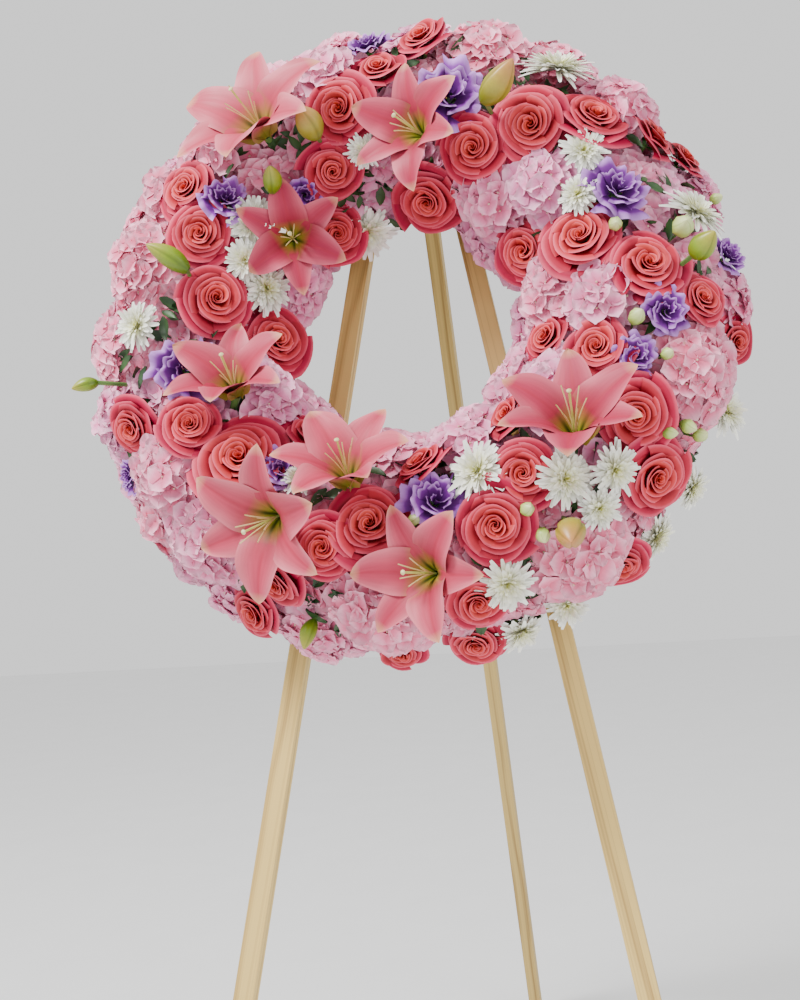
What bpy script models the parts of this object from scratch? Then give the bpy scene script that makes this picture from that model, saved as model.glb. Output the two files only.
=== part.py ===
# Funeral wreath of mixed flowers on a folding wooden tripod easel.
# World axes: +Z up, the wreath faces -Y, metres. The easel stands on z = 0 and the origin is
# under the middle of the whole object.
#
# The wreath and the two front legs lie in a plane that leans back. They are modelled in that plane's
# own axes, x to the viewer's right, y up the plane, z towards the viewer, from the ring's centre.
# A place on the ring is a clock angle (0 at the top, clockwise from the front) and a tube angle
# (0 at the front of the ring, positive towards its outer edge).

import math
import random

import bmesh
import bpy
import numpy as np
from mathutils import Matrix, Vector
from mathutils.bvhtree import BVHTree

MM = 0.001
SEED = 11
GAP = 0.3 * MM
OVERLAP = 4 * MM
# How far a cutter runs past what it cuts
PAST = 5 * MM

# Driving sizes
LEAN = math.radians(12)
RING_HEIGHT = 1.015
RING_RADIUS = 243 * MM
FLOWER_LEVEL = 116 * MM
LILY_LEVEL = 125 * MM
BACK_LIMIT = -60 * MM

FOAM_HALF_WIDTH = 52 * MM
FOAM_BACK = -56 * MM
FOAM_HEIGHT = 99 * MM
TRAY_HALF_WIDTH = 57 * MM
TRAY_WALL = 4 * MM
TRAY_RIM = 14 * MM
TRAY_BACK = FOAM_BACK - GAP - TRAY_WALL
RING_STEPS = 24

LEG_WIDTH = 22 * MM
LEG_DEPTH = 18 * MM
LEG_FRONT = TRAY_BACK - GAP
LEG_BACK = LEG_FRONT - LEG_DEPTH
APEX_UP = 428 * MM
LEG_SPLAY = 0.1772
LEG_START = 12 * MM
LEG_TOP = 372 * MM

BAR_UP = -203 * MM
BAR_HEIGHT = 30 * MM
BAR_DEPTH = 15 * MM
BAR_LEFT = -300 * MM
BAR_RIGHT = 258 * MM

BLOCK_WIDTH = 96 * MM
BLOCK_BOTTOM = 296 * MM
BLOCK_TOP = 368 * MM
BLOCK_BASE = 12 * MM
CHEEK_DEPTH = 26 * MM
CHEEK_WIDTH = 15 * MM
REAR_WIDTH = 18 * MM
REAR_DEPTH = 20 * MM
CHEEK_SPACE = REAR_WIDTH / 2 + 0.5 * MM
PIN_RADIUS = 3 * MM
PIN_HOLE = 3.4 * MM
PIN_HEAD = 5.5 * MM
PIN_HEAD_DEPTH = 4 * MM
PIN_SIDES = 12
CHEEK_INSET = 6 * MM
REAR_TOP = 11.5 * MM
PIVOT_UP = 330 * MM
PIVOT_BACK = LEG_BACK - GAP - BLOCK_BASE - 15 * MM
REAR_SPREAD = math.radians(21)

TIE_RADIUS = 1.3 * MM
TIE_HOLE = 1.8 * MM

PLANE_TO_WORLD = Matrix.Translation((0, 0, RING_HEIGHT)) @ Matrix.Rotation(math.pi / 2 - LEAN, 4, "X")

COLOURS = {
    "pine": ((0.83, 0.66, 0.42), 0.6, 0.0),
    "steel": ((0.6, 0.6, 0.6), 0.35, 1.0),
    "black_tie": ((0.05, 0.05, 0.05), 0.5, 0.0),
    "tray_green": ((0.04, 0.12, 0.06), 0.5, 0.0),
    "foam_green": ((0.09, 0.27, 0.12), 0.95, 0.0),
    "rose_coral": ((0.85, 0.27, 0.31), 0.6, 0.0),
    "lily_pink": ((0.88, 0.42, 0.45), 0.5, 0.0),
    "hydrangea_pink": ((0.9, 0.62, 0.72), 0.7, 0.0),
    "mum_white": ((0.93, 0.92, 0.84), 0.7, 0.0),
    "lisianthus_purple": ((0.38, 0.2, 0.62), 0.6, 0.0),
}

# Blooms as (clock, tube, radius), in degrees and millimetres
ROSES = [
    (0, 11, 24), (349, -9, 33), (340, -40, 27), (31, -30, 31), (43, -4, 34), (52, 23, 32),
    (61, 48, 24), (64, 75, 22), (305, 13, 27), (296, -10, 31), (278, -29, 33), (329, -76, 27),
    (15, -70, 33), (268, -72, 33), (69, -57, 27), (78, -19, 35), (89, 13, 31), (95, 43, 25),
    (108, -42, 23), (110, -9, 27), (121, 23, 32), (128, 52, 34), (146, -2, 29), (157, 13, 32),
    (166, 48, 27), (185, -3, 36), (195, 12, 27), (204, 39, 28), (225, -11, 44), (241, -1, 27),
    (249, 34, 27), (171, -38, 26), (215, -55, 27), (138, -37, 22), (209, 77, 27), (170, 97, 27),
    (183, 95, 22), (98, 89, 22), (142, 85, 26), (8, 39, 25),
]
MUMS = [
    (38, 36, 37), (58, 4, 21), (67, -11, 20), (307, -33, 28), (288, -57, 27), (294, -39, 22),
    (270, 15, 25), (78, 48, 31), (155, -17, 28), (140, 14, 27), (132, 29, 24), (139, 37, 20),
    (160, 44, 25), (153, 84, 21), (162, 98, 24), (110, 91, 27), (124, 95, 21), (134, 100, 24),
    (353, -35, 17), (207, -19, 16), (342, -89, 28), (179, 12, 12),
]
LISIANTHUS = [
    (357, 35, 22), (19, -6, 34), (70, 8, 29), (83, 82, 20), (308, -12, 24), (256, -10, 31),
    (213, -20, 21), (168, -11, 28), (99, 22, 21), (110, 11, 19), (243, 57, 18), (327, -43, 17),
]
# Small round buds of the lisianthus: (clock, tube, radius)
SMALL_BUDS = [
    (20, -23, 6), (79, 0, 7), (102, 7, 8), (108, 25, 6), (174, -2, 6), (150, 14, 7), (150, 28, 7),
    (121, 41, 6), (118, 49, 7), (118, 60, 7), (82, 33, 11), (73, 79, 6),
]
# Lily buds: (clock, tube, length, thickness, and the way they point: across, up, out)
LILY_BUDS = [
    (283, -13, 50, 22, (-0.75, 0.48, 0.45)),
    (318.5, -30, 34, 20, (0.2, 0.4, 0.9)),
    (340.5, -21.5, 40, 28, (-0.24, 0.45, 0.86)),
    (31.5, -8, 54, 28, (0.65, 0.4, 0.64)),
    (89, 31, 38, 24, (0.5, 0.2, 0.8)),
    (260, 40, 28, 15, (-0.85, -0.3, 0.4)),
    (197, 64, 33, 17, (-0.24, -0.92, 0.31)),
    (145, 31, 44, 28, (0.0, -0.5, 0.86)),
]
# Lilies: (clock, tube, petal length, turn about their axis, and the way they face: across, up, out)
LILIES = [
    (330, -3.5, 88, 90, (-0.45, 0.6, 0.6)),
    (14, -29.5, 80, 93, (-0.4, 0.0, 0.9)),
    (312, -57, 74, 35, (0.2, -0.3, 0.93)),
    (242.5, -31.5, 82, 90, (0.0, 0.68, 0.73)),
    (190, -24, 92, 60, (0.0, 0.73, 0.68)),
    (207, 3, 98, 77, (-0.35, -0.3, 0.88)),
    (171.5, 26, 84, 113, (-0.4, -0.1, 0.9)),
    (132.5, 5, 94, 88, (0.0, 0.73, 0.68)),
]
LILY_THROAT = 17
HYDRANGEA_RADIUS = 46
HYDRANGEA_SMALLEST = 26
HYDRANGEA_FULL = 44
FILL_TUBE = (-98, 100)

# Which heads may be one body, and how high over the ring's axis the stems run that join them
FAMILIES = {
    "rose": "rose", "mum": "mum", "lisianthus": "lisianthus", "small_bud": "lisianthus",
    "hydrangea": "hydrangea", "lily_bud": "lily", "lily": "lily",
}
STEM_LEVELS = {
    "hydrangea": 57 * MM, "rose": 64 * MM, "mum": 71 * MM, "lisianthus": 78 * MM, "lily": 85 * MM,
}
# Name, family, finish, and the most heads, the widest clock span and the longest stem of a group
GROUP_PLANS = (
    ("hydrangea", "hydrangea", "hydrangea_pink", 12, 70, 170),
    ("roses", "rose", "rose_coral", 9, 70, 200),
    ("chrysanthemums", "mum", "mum_white", 8, 90, 260),
    ("lisianthus", "lisianthus", "lisianthus_purple", 8, 90, 260),
    ("lilies", "lily", "lily_pink", 4, 60, 190),
)

rng = random.Random(SEED)


# Scene and materials


def clear_scene():
    for old in list(bpy.data.objects):
        bpy.data.objects.remove(old, do_unlink=True)


def material(name):
    made = bpy.data.materials.get(name)
    if made is None:
        colour, roughness, metallic = COLOURS[name]
        made = bpy.data.materials.new(name)
        made.use_nodes = True
        shader = made.node_tree.nodes["Principled BSDF"]
        shader.inputs["Base Color"].default_value = (*colour, 1)
        shader.inputs["Roughness"].default_value = roughness
        shader.inputs["Metallic"].default_value = metallic
    return made


def new_object(name, points, faces, finish, parent=None):
    mesh = bpy.data.meshes.new(name)
    mesh.from_pydata([tuple(p) for p in points], [], [tuple(f) for f in faces])
    mesh.validate()
    shape = bmesh.new()
    shape.from_mesh(mesh)
    bmesh.ops.recalc_face_normals(shape, faces=shape.faces)
    shape.to_mesh(mesh)
    shape.free()
    made = bpy.data.objects.new(name, mesh)
    bpy.context.scene.collection.objects.link(made)
    made.data.materials.append(material(finish))
    made.parent = parent
    return made


def apply_modifiers(obj):
    graph = bpy.context.evaluated_depsgraph_get()
    mesh = bpy.data.meshes.new_from_object(obj.evaluated_get(graph))
    old = obj.data
    obj.modifiers.clear()
    obj.data = mesh
    bpy.data.meshes.remove(old)


def cut(obj, cutters):
    for number, cutter in enumerate(cutters):
        cutter.hide_render = True
        cutter.display_type = "WIRE"
        step = obj.modifiers.new(f"cut_{number}", "BOOLEAN")
        step.operation = "DIFFERENCE"
        step.object = cutter


def fused(name, pieces, finish, parent):
    """One body of the overlapping pieces, each given as (points, faces)."""
    first = new_object(name, *pieces[0], finish, parent)
    if len(pieces) > 1:
        others = bpy.data.collections.new(name + "_pieces")
        bpy.context.scene.collection.children.link(others)
        for number, piece in enumerate(pieces[1:]):
            other = new_object(f"{name}_piece_{number}", *piece, finish, parent)
            bpy.context.scene.collection.objects.unlink(other)
            others.objects.link(other)
        step = first.modifiers.new("join", "BOOLEAN")
        step.operation = "UNION"
        step.operand_type = "COLLECTION"
        step.collection = others
        step.solver = "MANIFOLD"
        bpy.context.view_layer.update()
        apply_modifiers(first)
        for other in list(others.objects):
            bpy.data.objects.remove(other, do_unlink=True)
        bpy.data.collections.remove(others)
    return first


# Plain shapes


def prism_between(bottom, top):
    """A closed body between two rings of as many points, the first one facing away from the second."""
    count = len(bottom)
    faces = [list(range(count))[::-1], list(range(count, 2 * count))]
    for i in range(count):
        j = (i + 1) % count
        faces.append([i, j, count + j, count + i])
    return list(bottom) + list(top), faces


def box(low, high):
    (x0, y0, z0), (x1, y1, z1) = low, high
    bottom = [(x0, y0, z0), (x1, y0, z0), (x1, y1, z0), (x0, y1, z0)]
    top = [(x, y, z1) for x, y, _ in bottom]
    return prism_between(bottom, top)


def rod(start, end, radius, sides, turn=0.0):
    start, end = Vector(start), Vector(end)
    along = (end - start).normalized()
    side = along.orthogonal().normalized()
    other = along.cross(side)
    ring = [
        side * math.cos(turn + 2 * math.pi * i / sides) * radius
        + other * math.sin(turn + 2 * math.pi * i / sides) * radius
        for i in range(sides)
    ]
    return prism_between([start + p for p in ring], [end + p for p in ring])


def turned(profile, steps):
    """A ring turned about the wreath's axis from a closed profile of (radius, z) points."""
    count = len(profile)
    points, faces = [], []
    for i in range(steps):
        angle = 2 * math.pi * i / steps
        points += [(r * math.sin(angle), r * math.cos(angle), z) for r, z in profile]
    for i in range(steps):
        j = (i + 1) % steps
        for a in range(count):
            b = (a + 1) % count
            faces.append([i * count + a, i * count + b, j * count + b, j * count + a])
    return points, faces


# Places on the ring


def ring_frame(clock, tube):
    """The tube's centre, and its outward normal, its clockwise and its outward directions there."""
    a, t = math.radians(clock), math.radians(tube)
    radial = np.array([math.sin(a), math.cos(a), 0.0])
    front = np.array([0.0, 0.0, 1.0])
    centre = RING_RADIUS * radial
    normal = math.sin(t) * radial + math.cos(t) * front
    clockwise = np.array([math.cos(a), -math.sin(a), 0.0])
    outward = math.cos(t) * radial - math.sin(t) * front
    return centre, normal, clockwise, outward


def tube_centre(point):
    flat = np.array([point[0], point[1], 0.0])
    return flat * (RING_RADIUS / np.linalg.norm(flat))


def lifted(point, level):
    """The point moved straight out of the tube until it is at least this far from its centre."""
    centre = tube_centre(point)
    away = point - centre
    distance = np.linalg.norm(away)
    return point if distance >= level else centre + away * (level / distance)


class Bloom:
    """A flower head in the packed layer, with the room that its neighbours leave it."""

    def __init__(self, kind, clock, tube, radius):
        self.kind, self.clock, self.tube, self.radius = kind, clock, tube, radius * MM
        self.centre, self.normal, self.clockwise, self.outward = ring_frame(clock, tube)
        sink = 0.25 * self.radius if kind in ("rose", "mum", "lisianthus") else 0.0
        self.axis_level = FLOWER_LEVEL - sink
        self.place = self.centre + self.axis_level * self.normal
        self.claim = self.radius + (8 * MM if kind == "small_bud" else 0.0)
        self.walls = []

    def find_walls(self, blooms, joined):
        """Flat walls (normal, distance) between this bloom and each neighbour, placed by their sizes
        and each in line with the tube's axis under it, so that the feet keep apart too."""
        self.walls = []
        for other in blooms:
            away = other.place - self.place
            apart = float(away @ away)
            if other is self or apart > (4.2 * HYDRANGEA_RADIUS * MM) ** 2:
                continue
            share = 0.5 + (self.claim**2 - other.claim**2) / (2 * apart)
            middle = self.place + share * away
            up = middle - tube_centre(middle)
            up /= np.linalg.norm(up)
            across = away - (away @ up) * up
            across /= np.linalg.norm(across)
            margin = OVERLAP if joined(self, other) else -GAP
            self.walls.append((across, float(across @ middle) + margin))
        radial = self.centre / RING_RADIUS
        side = radial if self.tube > 0 else -radial
        self.walls.append((np.array([0.0, 0.0, -1.0]), -BACK_LIMIT))
        rim = np.array([0.0, 0.0, TRAY_BACK + TRAY_RIM + 0.5 * MM])
        edge = self.centre + side * (TRAY_HALF_WIDTH + 0.5 * MM) + rim
        slope = -(0.66 * side + np.array([0.0, 0.0, 0.75]))
        slope /= np.linalg.norm(slope)
        self.walls.append((slope, float(slope @ edge)))

    def room(self, angle, height):
        """How far the walls let this bloom reach in this direction at this height on its axis."""
        start = self.place + height * self.normal
        way = math.cos(angle) * self.clockwise + math.sin(angle) * self.outward
        limits = [(d - n @ start) / (n @ way) for n, d in self.walls if n @ way > 1e-6]
        return min(limits)

    def point(self, reach, angle, height):
        way = math.cos(angle) * self.clockwise + math.sin(angle) * self.outward
        return self.place + reach * way + height * self.normal


def layered_head(bloom, foot, rings, columns, top):
    """A closed head from its foot at the foam up through rings of (reach, height) by column to its
    top. The walls squeeze each column."""
    points = [foot]
    squeeze = []
    for j in range(columns):
        angle = 2 * math.pi * j / columns
        room = [bloom.room(angle, ring[j][1]) / ring[j][0] for ring in rings]
        squeeze.append(max(0.12, min(1.0, *room)))
    for ring in rings:
        for j, (reach, height) in enumerate(ring):
            angle = 2 * math.pi * j / columns
            points.append(bloom.point(reach * squeeze[j], angle, height))
    points.append(bloom.point(0.0, 0.0, top))
    faces = []
    for j in range(columns):
        k = (j + 1) % columns
        faces.append([0, 1 + k, 1 + j])
        for level in range(len(rings) - 1):
            low, high = 1 + level * columns, 1 + (level + 1) * columns
            faces.append([low + j, low + k, high + j])
            faces.append([low + k, high + k, high + j])
        last = 1 + (len(rings) - 1) * columns
        faces.append([last + j, last + k, len(points) - 1])
    return points, faces


# Flower heads, each as rings of (reach, height) from the outer petals to the heart


def rose_rings(bloom):
    columns, r = 8, bloom.radius
    turn = rng.uniform(0, 2 * math.pi)
    layers = ((1.16, -0.06, 0.07), (0.72, -0.02, 0.0), (0.66, 0.26, 0.09), (0.3, 0.14, 0.03))
    rings = []
    for number, (reach, height, lobe) in enumerate(layers):
        wave = [math.cos(3 * 2 * math.pi * j / columns + turn + 1.9 * number) for j in range(columns)]
        rings.append([(r * reach * (1 + lobe * w), r * (height - 0.5 * lobe * w)) for w in wave])
    return rings, columns, 0.34 * r


def mum_rings(bloom):
    columns, r = 12, bloom.radius
    layers = ((1.12, 0.8, 0.03, -0.04), (0.5, 0.5, 0.1, 0.1), (0.64, 0.4, 0.34, 0.26))
    rings = []
    for tip, notch, tip_up, notch_up in layers:
        rings.append([(r * (tip, notch)[j % 2], r * (tip_up, notch_up)[j % 2]) for j in range(columns)])
    return rings, columns, 0.22 * r


def lisianthus_rings(bloom):
    columns, r = 8, bloom.radius
    turn = rng.uniform(0, 2 * math.pi)
    layers = ((1.12, -0.04, 0.12), (0.5, -0.08, 0.0), (0.62, 0.28, 0.2), (0.26, 0.02, 0.0))
    rings = []
    for number, (reach, height, lobe) in enumerate(layers):
        wave = [math.cos(2 * 2 * math.pi * j / columns + turn + 1.3 * number) for j in range(columns)]
        ring = [(r * reach * (1 + lobe * w), r * (height + 0.6 * lobe * (-1) ** j)) for j, w in enumerate(wave)]
        rings.append(ring)
    return rings, columns, -0.05 * r


def hydrangea_rings(bloom):
    """A dome whose surface rises and falls petal by petal."""
    r = bloom.radius
    columns, shares = (8, (1.5, 1.0, 0.5)) if r > HYDRANGEA_FULL * MM else (6, (1.5, 0.75))
    rings = []
    for number, share in enumerate(shares):
        ring = []
        for j in range(columns):
            raised = (1 if (j + number) % 2 == 0 else -1) * (1 + 0.25 * rng.random())
            level = FLOWER_LEVEL + (4.0 if raised > 0 else 4.5) * raised * MM
            reach = r * share * (1 + 0.03 * raised)
            ring.append((reach, math.sqrt(level**2 - reach**2) - bloom.axis_level))
        rings.append(ring)
    return rings, columns, FLOWER_LEVEL + 4 * MM - bloom.axis_level


def small_bud_rings(bloom):
    columns, r = 5, bloom.radius
    shape = ((0.75, -0.9), (1.0, 0.0))
    return [[(r * reach, r * height) for _ in range(columns)] for reach, height in shape], columns, r


def throat_rings(bloom):
    columns, r = 5, bloom.radius
    rise = 0.5 * bloom.shape[1] * MM if bloom.kind == "lily_bud" else 6 * MM
    top = LILY_LEVEL - bloom.axis_level + rise
    return [[(r * 0.8, -0.2 * r)] * columns, [(r * 0.55, top)] * columns], columns, top - 1 * MM


HEADS = {
    "rose": rose_rings,
    "mum": mum_rings,
    "lisianthus": lisianthus_rings,
    "hydrangea": hydrangea_rings,
    "small_bud": small_bud_rings,
    "lily": throat_rings,
    "lily_bud": throat_rings,
}


# Lilies and lily buds, above the packed layer


def blade(spine, sides, widths, thickness):
    """A petal: a body along the spine with two edges, and a rib along its upper face."""
    points, faces = [], []
    count = len(spine)
    for centre, side, width in zip(spine, sides, widths):
        up = centre - tube_centre(centre)
        up = up / np.linalg.norm(up)
        points += [centre - side * width, centre + up * thickness, centre + side * width]
    for i in range(count - 1):
        for a in range(3):
            b = (a + 1) % 3
            p, q, r, s = 3 * i + a, 3 * i + b, 3 * i + 3 + b, 3 * i + 3 + a
            faces += [[p, s, q], [q, s, r]]
    end = 3 * (count - 1)
    return points, faces + [[0, 1, 2], [end, end + 2, end + 1]]


def lily_pieces(bloom, length, turn, facing):
    """Six recurved petals and the stamens round the pistil, standing on the throat."""
    axis = np.array(facing) / np.linalg.norm(facing)
    side = np.cross(axis, [0.0, 1.0, 0.2])
    side /= np.linalg.norm(side)
    other = np.cross(axis, side)
    base = bloom.centre + (LILY_LEVEL - 1 * MM) * bloom.normal
    pieces = []
    shape = ((0.06, 0.08, 0.05), (0.33, 0.265, 0.19), (0.65, 0.32, 0.2), (0.91, 0.28, 0.03))
    for k in range(6):
        angle = math.radians(turn + 60 * k)
        inner = k % 2 == 0
        way = math.cos(angle) * side + math.sin(angle) * other
        across = np.cross(axis, way)
        spine, sides, widths = [], [], []
        for out, rise, width in shape:
            lift = (2.5 if inner else 0.0) * MM * min(1.0, 3 * out)
            place = base + way * (out * length) + axis * (rise * length + lift)
            spine.append(lifted(place, LILY_LEVEL + lift))
            sides.append(across)
            widths.append(width * length * (1.0 if inner else 0.82))
        pieces.append(blade(spine, sides, widths, 2.2 * MM))
    for k in range(2):
        angle = math.radians(turn + 180 * k + 40)
        lean = 0.3 * (math.cos(angle) * side + math.sin(angle) * other) + axis
        tip = base + lean / np.linalg.norm(lean) * 0.5 * length
        pieces.append(rod(base - 3 * MM * axis, lifted(tip, LILY_LEVEL + 5 * MM), 1.3 * MM, 3))
    return pieces


def lily_bud_pieces(bloom, length, thickness, facing):
    axis = np.array(facing) / np.linalg.norm(facing)
    side = np.cross(axis, [0.3, 0.2, 0.9])
    side /= np.linalg.norm(side)
    other = np.cross(axis, side)
    base = bloom.centre + (LILY_LEVEL + thickness * 0.35 * MM) * bloom.normal
    points, faces = [base - axis * 4 * MM], []
    shape = ((0.12, 0.3), (0.42, 0.5), (0.78, 0.34))
    for along, half in shape:
        for j in range(6):
            angle = math.pi * j / 3
            ridge = 1.0 if j % 2 else 0.86
            reach = half * thickness * MM * ridge
            way = math.cos(angle) * side + math.sin(angle) * other
            points.append(lifted(base + axis * along * length * MM + reach * way, LILY_LEVEL))
    points.append(lifted(base + axis * length * MM, LILY_LEVEL + 1 * MM))
    for j in range(6):
        k = (j + 1) % 6
        faces.append([0, 1 + k, 1 + j])
        for level in range(2):
            low, high = 1 + 6 * level, 7 + 6 * level
            faces += [[low + j, low + k, high + j], [low + k, high + k, high + j]]
        faces.append([13 + j, 13 + k, 19])
    return [(points, faces)]


# The layout


def all_blooms():
    blooms = [Bloom("rose", *place) for place in ROSES]
    blooms += [Bloom("mum", *place) for place in MUMS]
    blooms += [Bloom("lisianthus", *place) for place in LISIANTHUS]
    blooms += [Bloom("small_bud", *place) for place in SMALL_BUDS]
    for clock, tube, *rest in LILIES:
        blooms.append(Bloom("lily", clock, tube, LILY_THROAT))
        blooms[-1].shape = rest
    for clock, tube, *rest in LILY_BUDS:
        blooms.append(Bloom("lily_bud", clock, tube, 9))
        blooms[-1].shape = rest
    return blooms


def fill_with_hydrangea(blooms):
    """Hydrangea heads go wherever the widest space is left, until none is wide enough."""
    spots = []
    for tube in range(FILL_TUBE[0], FILL_TUBE[1] + 1, 6):
        spots += [(clock, tube) for clock in range(0, 360, 3)]
    places = np.array([Bloom("hydrangea", *spot, 1).place for spot in spots])
    free = np.full(len(spots), 1.0)
    for bloom in blooms:
        free = np.minimum(free, np.linalg.norm(places - bloom.place, axis=1) - bloom.claim)
    while free.max() > HYDRANGEA_SMALLEST * MM:
        best = int(free.argmax())
        radius = min(HYDRANGEA_RADIUS, free[best] / MM + 6)
        head = Bloom("hydrangea", *spots[best], radius)
        blooms.append(head)
        free = np.minimum(free, np.linalg.norm(places - head.place, axis=1) - 0.62 * head.radius - 14 * MM)
    return blooms


def link_path(one, other):
    """A stem under the flowers from one head to another, hugging the foam."""
    turn = (other.clock - one.clock + 180) % 360 - 180
    level = STEM_LEVELS[FAMILIES[one.kind]]
    ends = one.centre + level * one.normal, other.centre + level * other.normal
    steps = math.ceil(np.linalg.norm(ends[1] - ends[0]) / (48 * MM))
    path = []
    for i in range(steps + 1):
        share = i / steps
        tube = one.tube + share * (other.tube - one.tube)
        centre, normal, _, _ = ring_frame(one.clock + share * turn, tube)
        path.append(centre + level * normal)
    return path


def stem_pieces(path, radius):
    return [rod(a, b, radius, 3) for a, b in zip(path, path[1:])]


def search_trees(pieces):
    return [BVHTree.FromPolygons([tuple(p) for p in points], faces) for points, faces in pieces]


def clear_link(path, ends, trees, stems):
    """Whether the stem, drawn thicker, keeps out of every other head and of the other stems."""
    thick = search_trees(stem_pieces(path, 3.4 * MM))
    for bloom, tree in trees.items():
        if bloom in ends or np.linalg.norm(bloom.place - path[0]) > 260 * MM:
            continue
        if any(tree.overlap(piece) for piece in thick):
            return False
    return not any(piece.overlap(stem) for piece in thick for stem in stems)


def head_piece(bloom, foam_tree):
    return layered_head(bloom, foot_on_foam(bloom, foam_tree), *bloom.rings)


def touching_pairs(blooms, trees, joined):
    """The pairs of heads of one family that really run into one another."""
    pairs = set()
    for i, one in enumerate(blooms):
        for other in blooms[i + 1 :]:
            if joined(one, other) and trees[one].overlap(trees[other]):
                pairs |= {(one, other), (other, one)}
    return pairs


def grouped(members, trees, touching, stems, most, span, apart):
    """Heads of one family gathered into connected groups: the heads, the stems that join some of
    them, and the pairs that run together."""
    groups = []
    left = sorted(members, key=lambda b: (b.clock, b.tube))
    while left:
        group, links, pairs = [left.pop(0)], [], set()
        grown = True
        while grown and len(group) < most:
            grown = False
            choices = sorted(
                ((a, b) in touching, np.linalg.norm(a.place - b.place), i, j)
                for i, a in enumerate(group)
                for j, b in enumerate(left)
            )
            for _, distance, i, j in choices:
                one, other = group[i], left[j]
                touches = (one, other) in touching
                turns = [(other.clock - b.clock + 180) % 360 - 180 for b in group]
                if max(abs(turn) for turn in turns) > span or not touches and distance > apart * MM:
                    continue
                path = link_path(one, other)
                if clear_link(path, (one, other), trees, stems):
                    links.append(path)
                elif touches:
                    pairs |= {(one, other), (other, one)}
                else:
                    continue
                group.append(left.pop(j))
                grown = True
                break
        for path in links:
            stems += search_trees(stem_pieces(path, 3.4 * MM))
        groups.append((group, links, pairs))
    return groups


# The parts


def make_foam(parent):
    """The soaked foam ring, round-topped, on the tray."""
    profile = []
    for i in range(7):
        angle = math.pi * i / 6
        rise = FOAM_HEIGHT * math.sin(angle) ** 0.8 if 0 < i < 6 else 0.0
        profile.append((RING_RADIUS - FOAM_HALF_WIDTH * math.cos(angle), FOAM_BACK + rise))
    return new_object("foam_ring", *turned(profile[::-1], RING_STEPS), "foam_green", parent)


def make_tray(parent, holes):
    """The moulded tray under the foam: a flat floor with a rim on both sides."""
    half, floor, back = TRAY_HALF_WIDTH, FOAM_BACK - GAP, TRAY_BACK
    inside = half - TRAY_WALL
    r = RING_RADIUS
    rim = back + TRAY_RIM
    profile = [
        (r - half, back), (r + half, back), (r + half, rim), (r + inside, rim),
        (r + inside, floor), (r - inside, floor), (r - inside, rim), (r - half, rim),
    ]
    tray = new_object("ring_tray", *turned(profile, RING_STEPS), "tray_green", parent)
    drills = []
    for i, (x, y) in enumerate(holes):
        drill = rod((x, y, back - PAST), (x, y, floor + PAST), TIE_HOLE, 6)
        drills.append(new_object(f"tray_drill_{i}", *drill, "steel", parent))
    cut(tray, drills)
    return tray


def leg_x(up):
    return LEG_START + LEG_SPLAY * (APEX_UP - up)


def floor_hit(x_up, z):
    """How far down the plane a line through x_up = (x, up, splay) at depth z meets the floor."""
    x, up, splay = x_up
    down = (RING_HEIGHT + z * math.sin(LEAN)) / math.cos(LEAN)
    return (x + splay * (up + down), -down, z)


def make_front_leg(side, parent):
    name = "front_leg_left" if side < 0 else "front_leg_right"
    half = LEG_WIDTH / 2 / math.cos(math.atan(LEG_SPLAY))
    corners = [(-half, LEG_FRONT), (half, LEG_FRONT), (half, LEG_BACK), (-half, LEG_BACK)]
    top = [(side * leg_x(LEG_TOP) + dx, LEG_TOP, z) for dx, z in corners]
    foot = [floor_hit((side * leg_x(LEG_TOP) + dx, LEG_TOP, side * LEG_SPLAY), z) for dx, z in corners]
    return new_object(name, *prism_between(foot, top), "pine", parent)


def make_cross_bar(parent):
    back = LEG_BACK - GAP
    points, faces = box(
        (BAR_LEFT, BAR_UP - BAR_HEIGHT / 2, back - BAR_DEPTH),
        (BAR_RIGHT, BAR_UP + BAR_HEIGHT / 2, back),
    )
    bar = new_object("cross_bar", points, faces, "pine", parent)
    edge = bar.modifiers.new("eased_edges", "BEVEL")
    edge.width, edge.segments = 2 * MM, 1
    return bar


def make_head_block(parent):
    """The block that joins the front legs, with two cheeks that hold the rear leg's pin."""
    front = LEG_BACK - GAP
    base = box((-BLOCK_WIDTH / 2, BLOCK_BOTTOM, front - BLOCK_BASE), (BLOCK_WIDTH / 2, BLOCK_TOP, front))
    pieces = [base]
    low, high = BLOCK_BOTTOM + CHEEK_INSET, BLOCK_TOP - CHEEK_INSET
    for side in (-1, 1):
        inner, outer = sorted((CHEEK_SPACE * side, (CHEEK_SPACE + CHEEK_WIDTH) * side))
        pieces.append(box((inner, low, front - BLOCK_BASE - CHEEK_DEPTH), (outer, high, front - BLOCK_BASE / 2)))
    block = fused("head_block", pieces, "pine", parent)
    reach = BLOCK_WIDTH / 2 + PAST
    drill = rod((-reach, PIVOT_UP, PIVOT_BACK), (reach, PIVOT_UP, PIVOT_BACK), PIN_HOLE, PIN_SIDES)
    cut(block, [new_object("block_drill", *drill, "steel", parent)])
    return block


def make_hinge_pin(parent):
    reach = CHEEK_SPACE + CHEEK_WIDTH + 0.5 * MM
    end, middle = reach + PIN_HEAD_DEPTH, reach + 0.75 * PIN_HEAD_DEPTH
    pieces = [rod((-middle, PIVOT_UP, PIVOT_BACK), (middle, PIVOT_UP, PIVOT_BACK), PIN_RADIUS, PIN_SIDES)]
    for side in (-1, 1):
        start, stop = (side * reach, PIVOT_UP, PIVOT_BACK), (side * end, PIVOT_UP, PIVOT_BACK)
        pieces.append(rod(start, stop, PIN_HEAD, 8))
    return fused("hinge_pin", pieces, "steel", parent)


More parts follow.
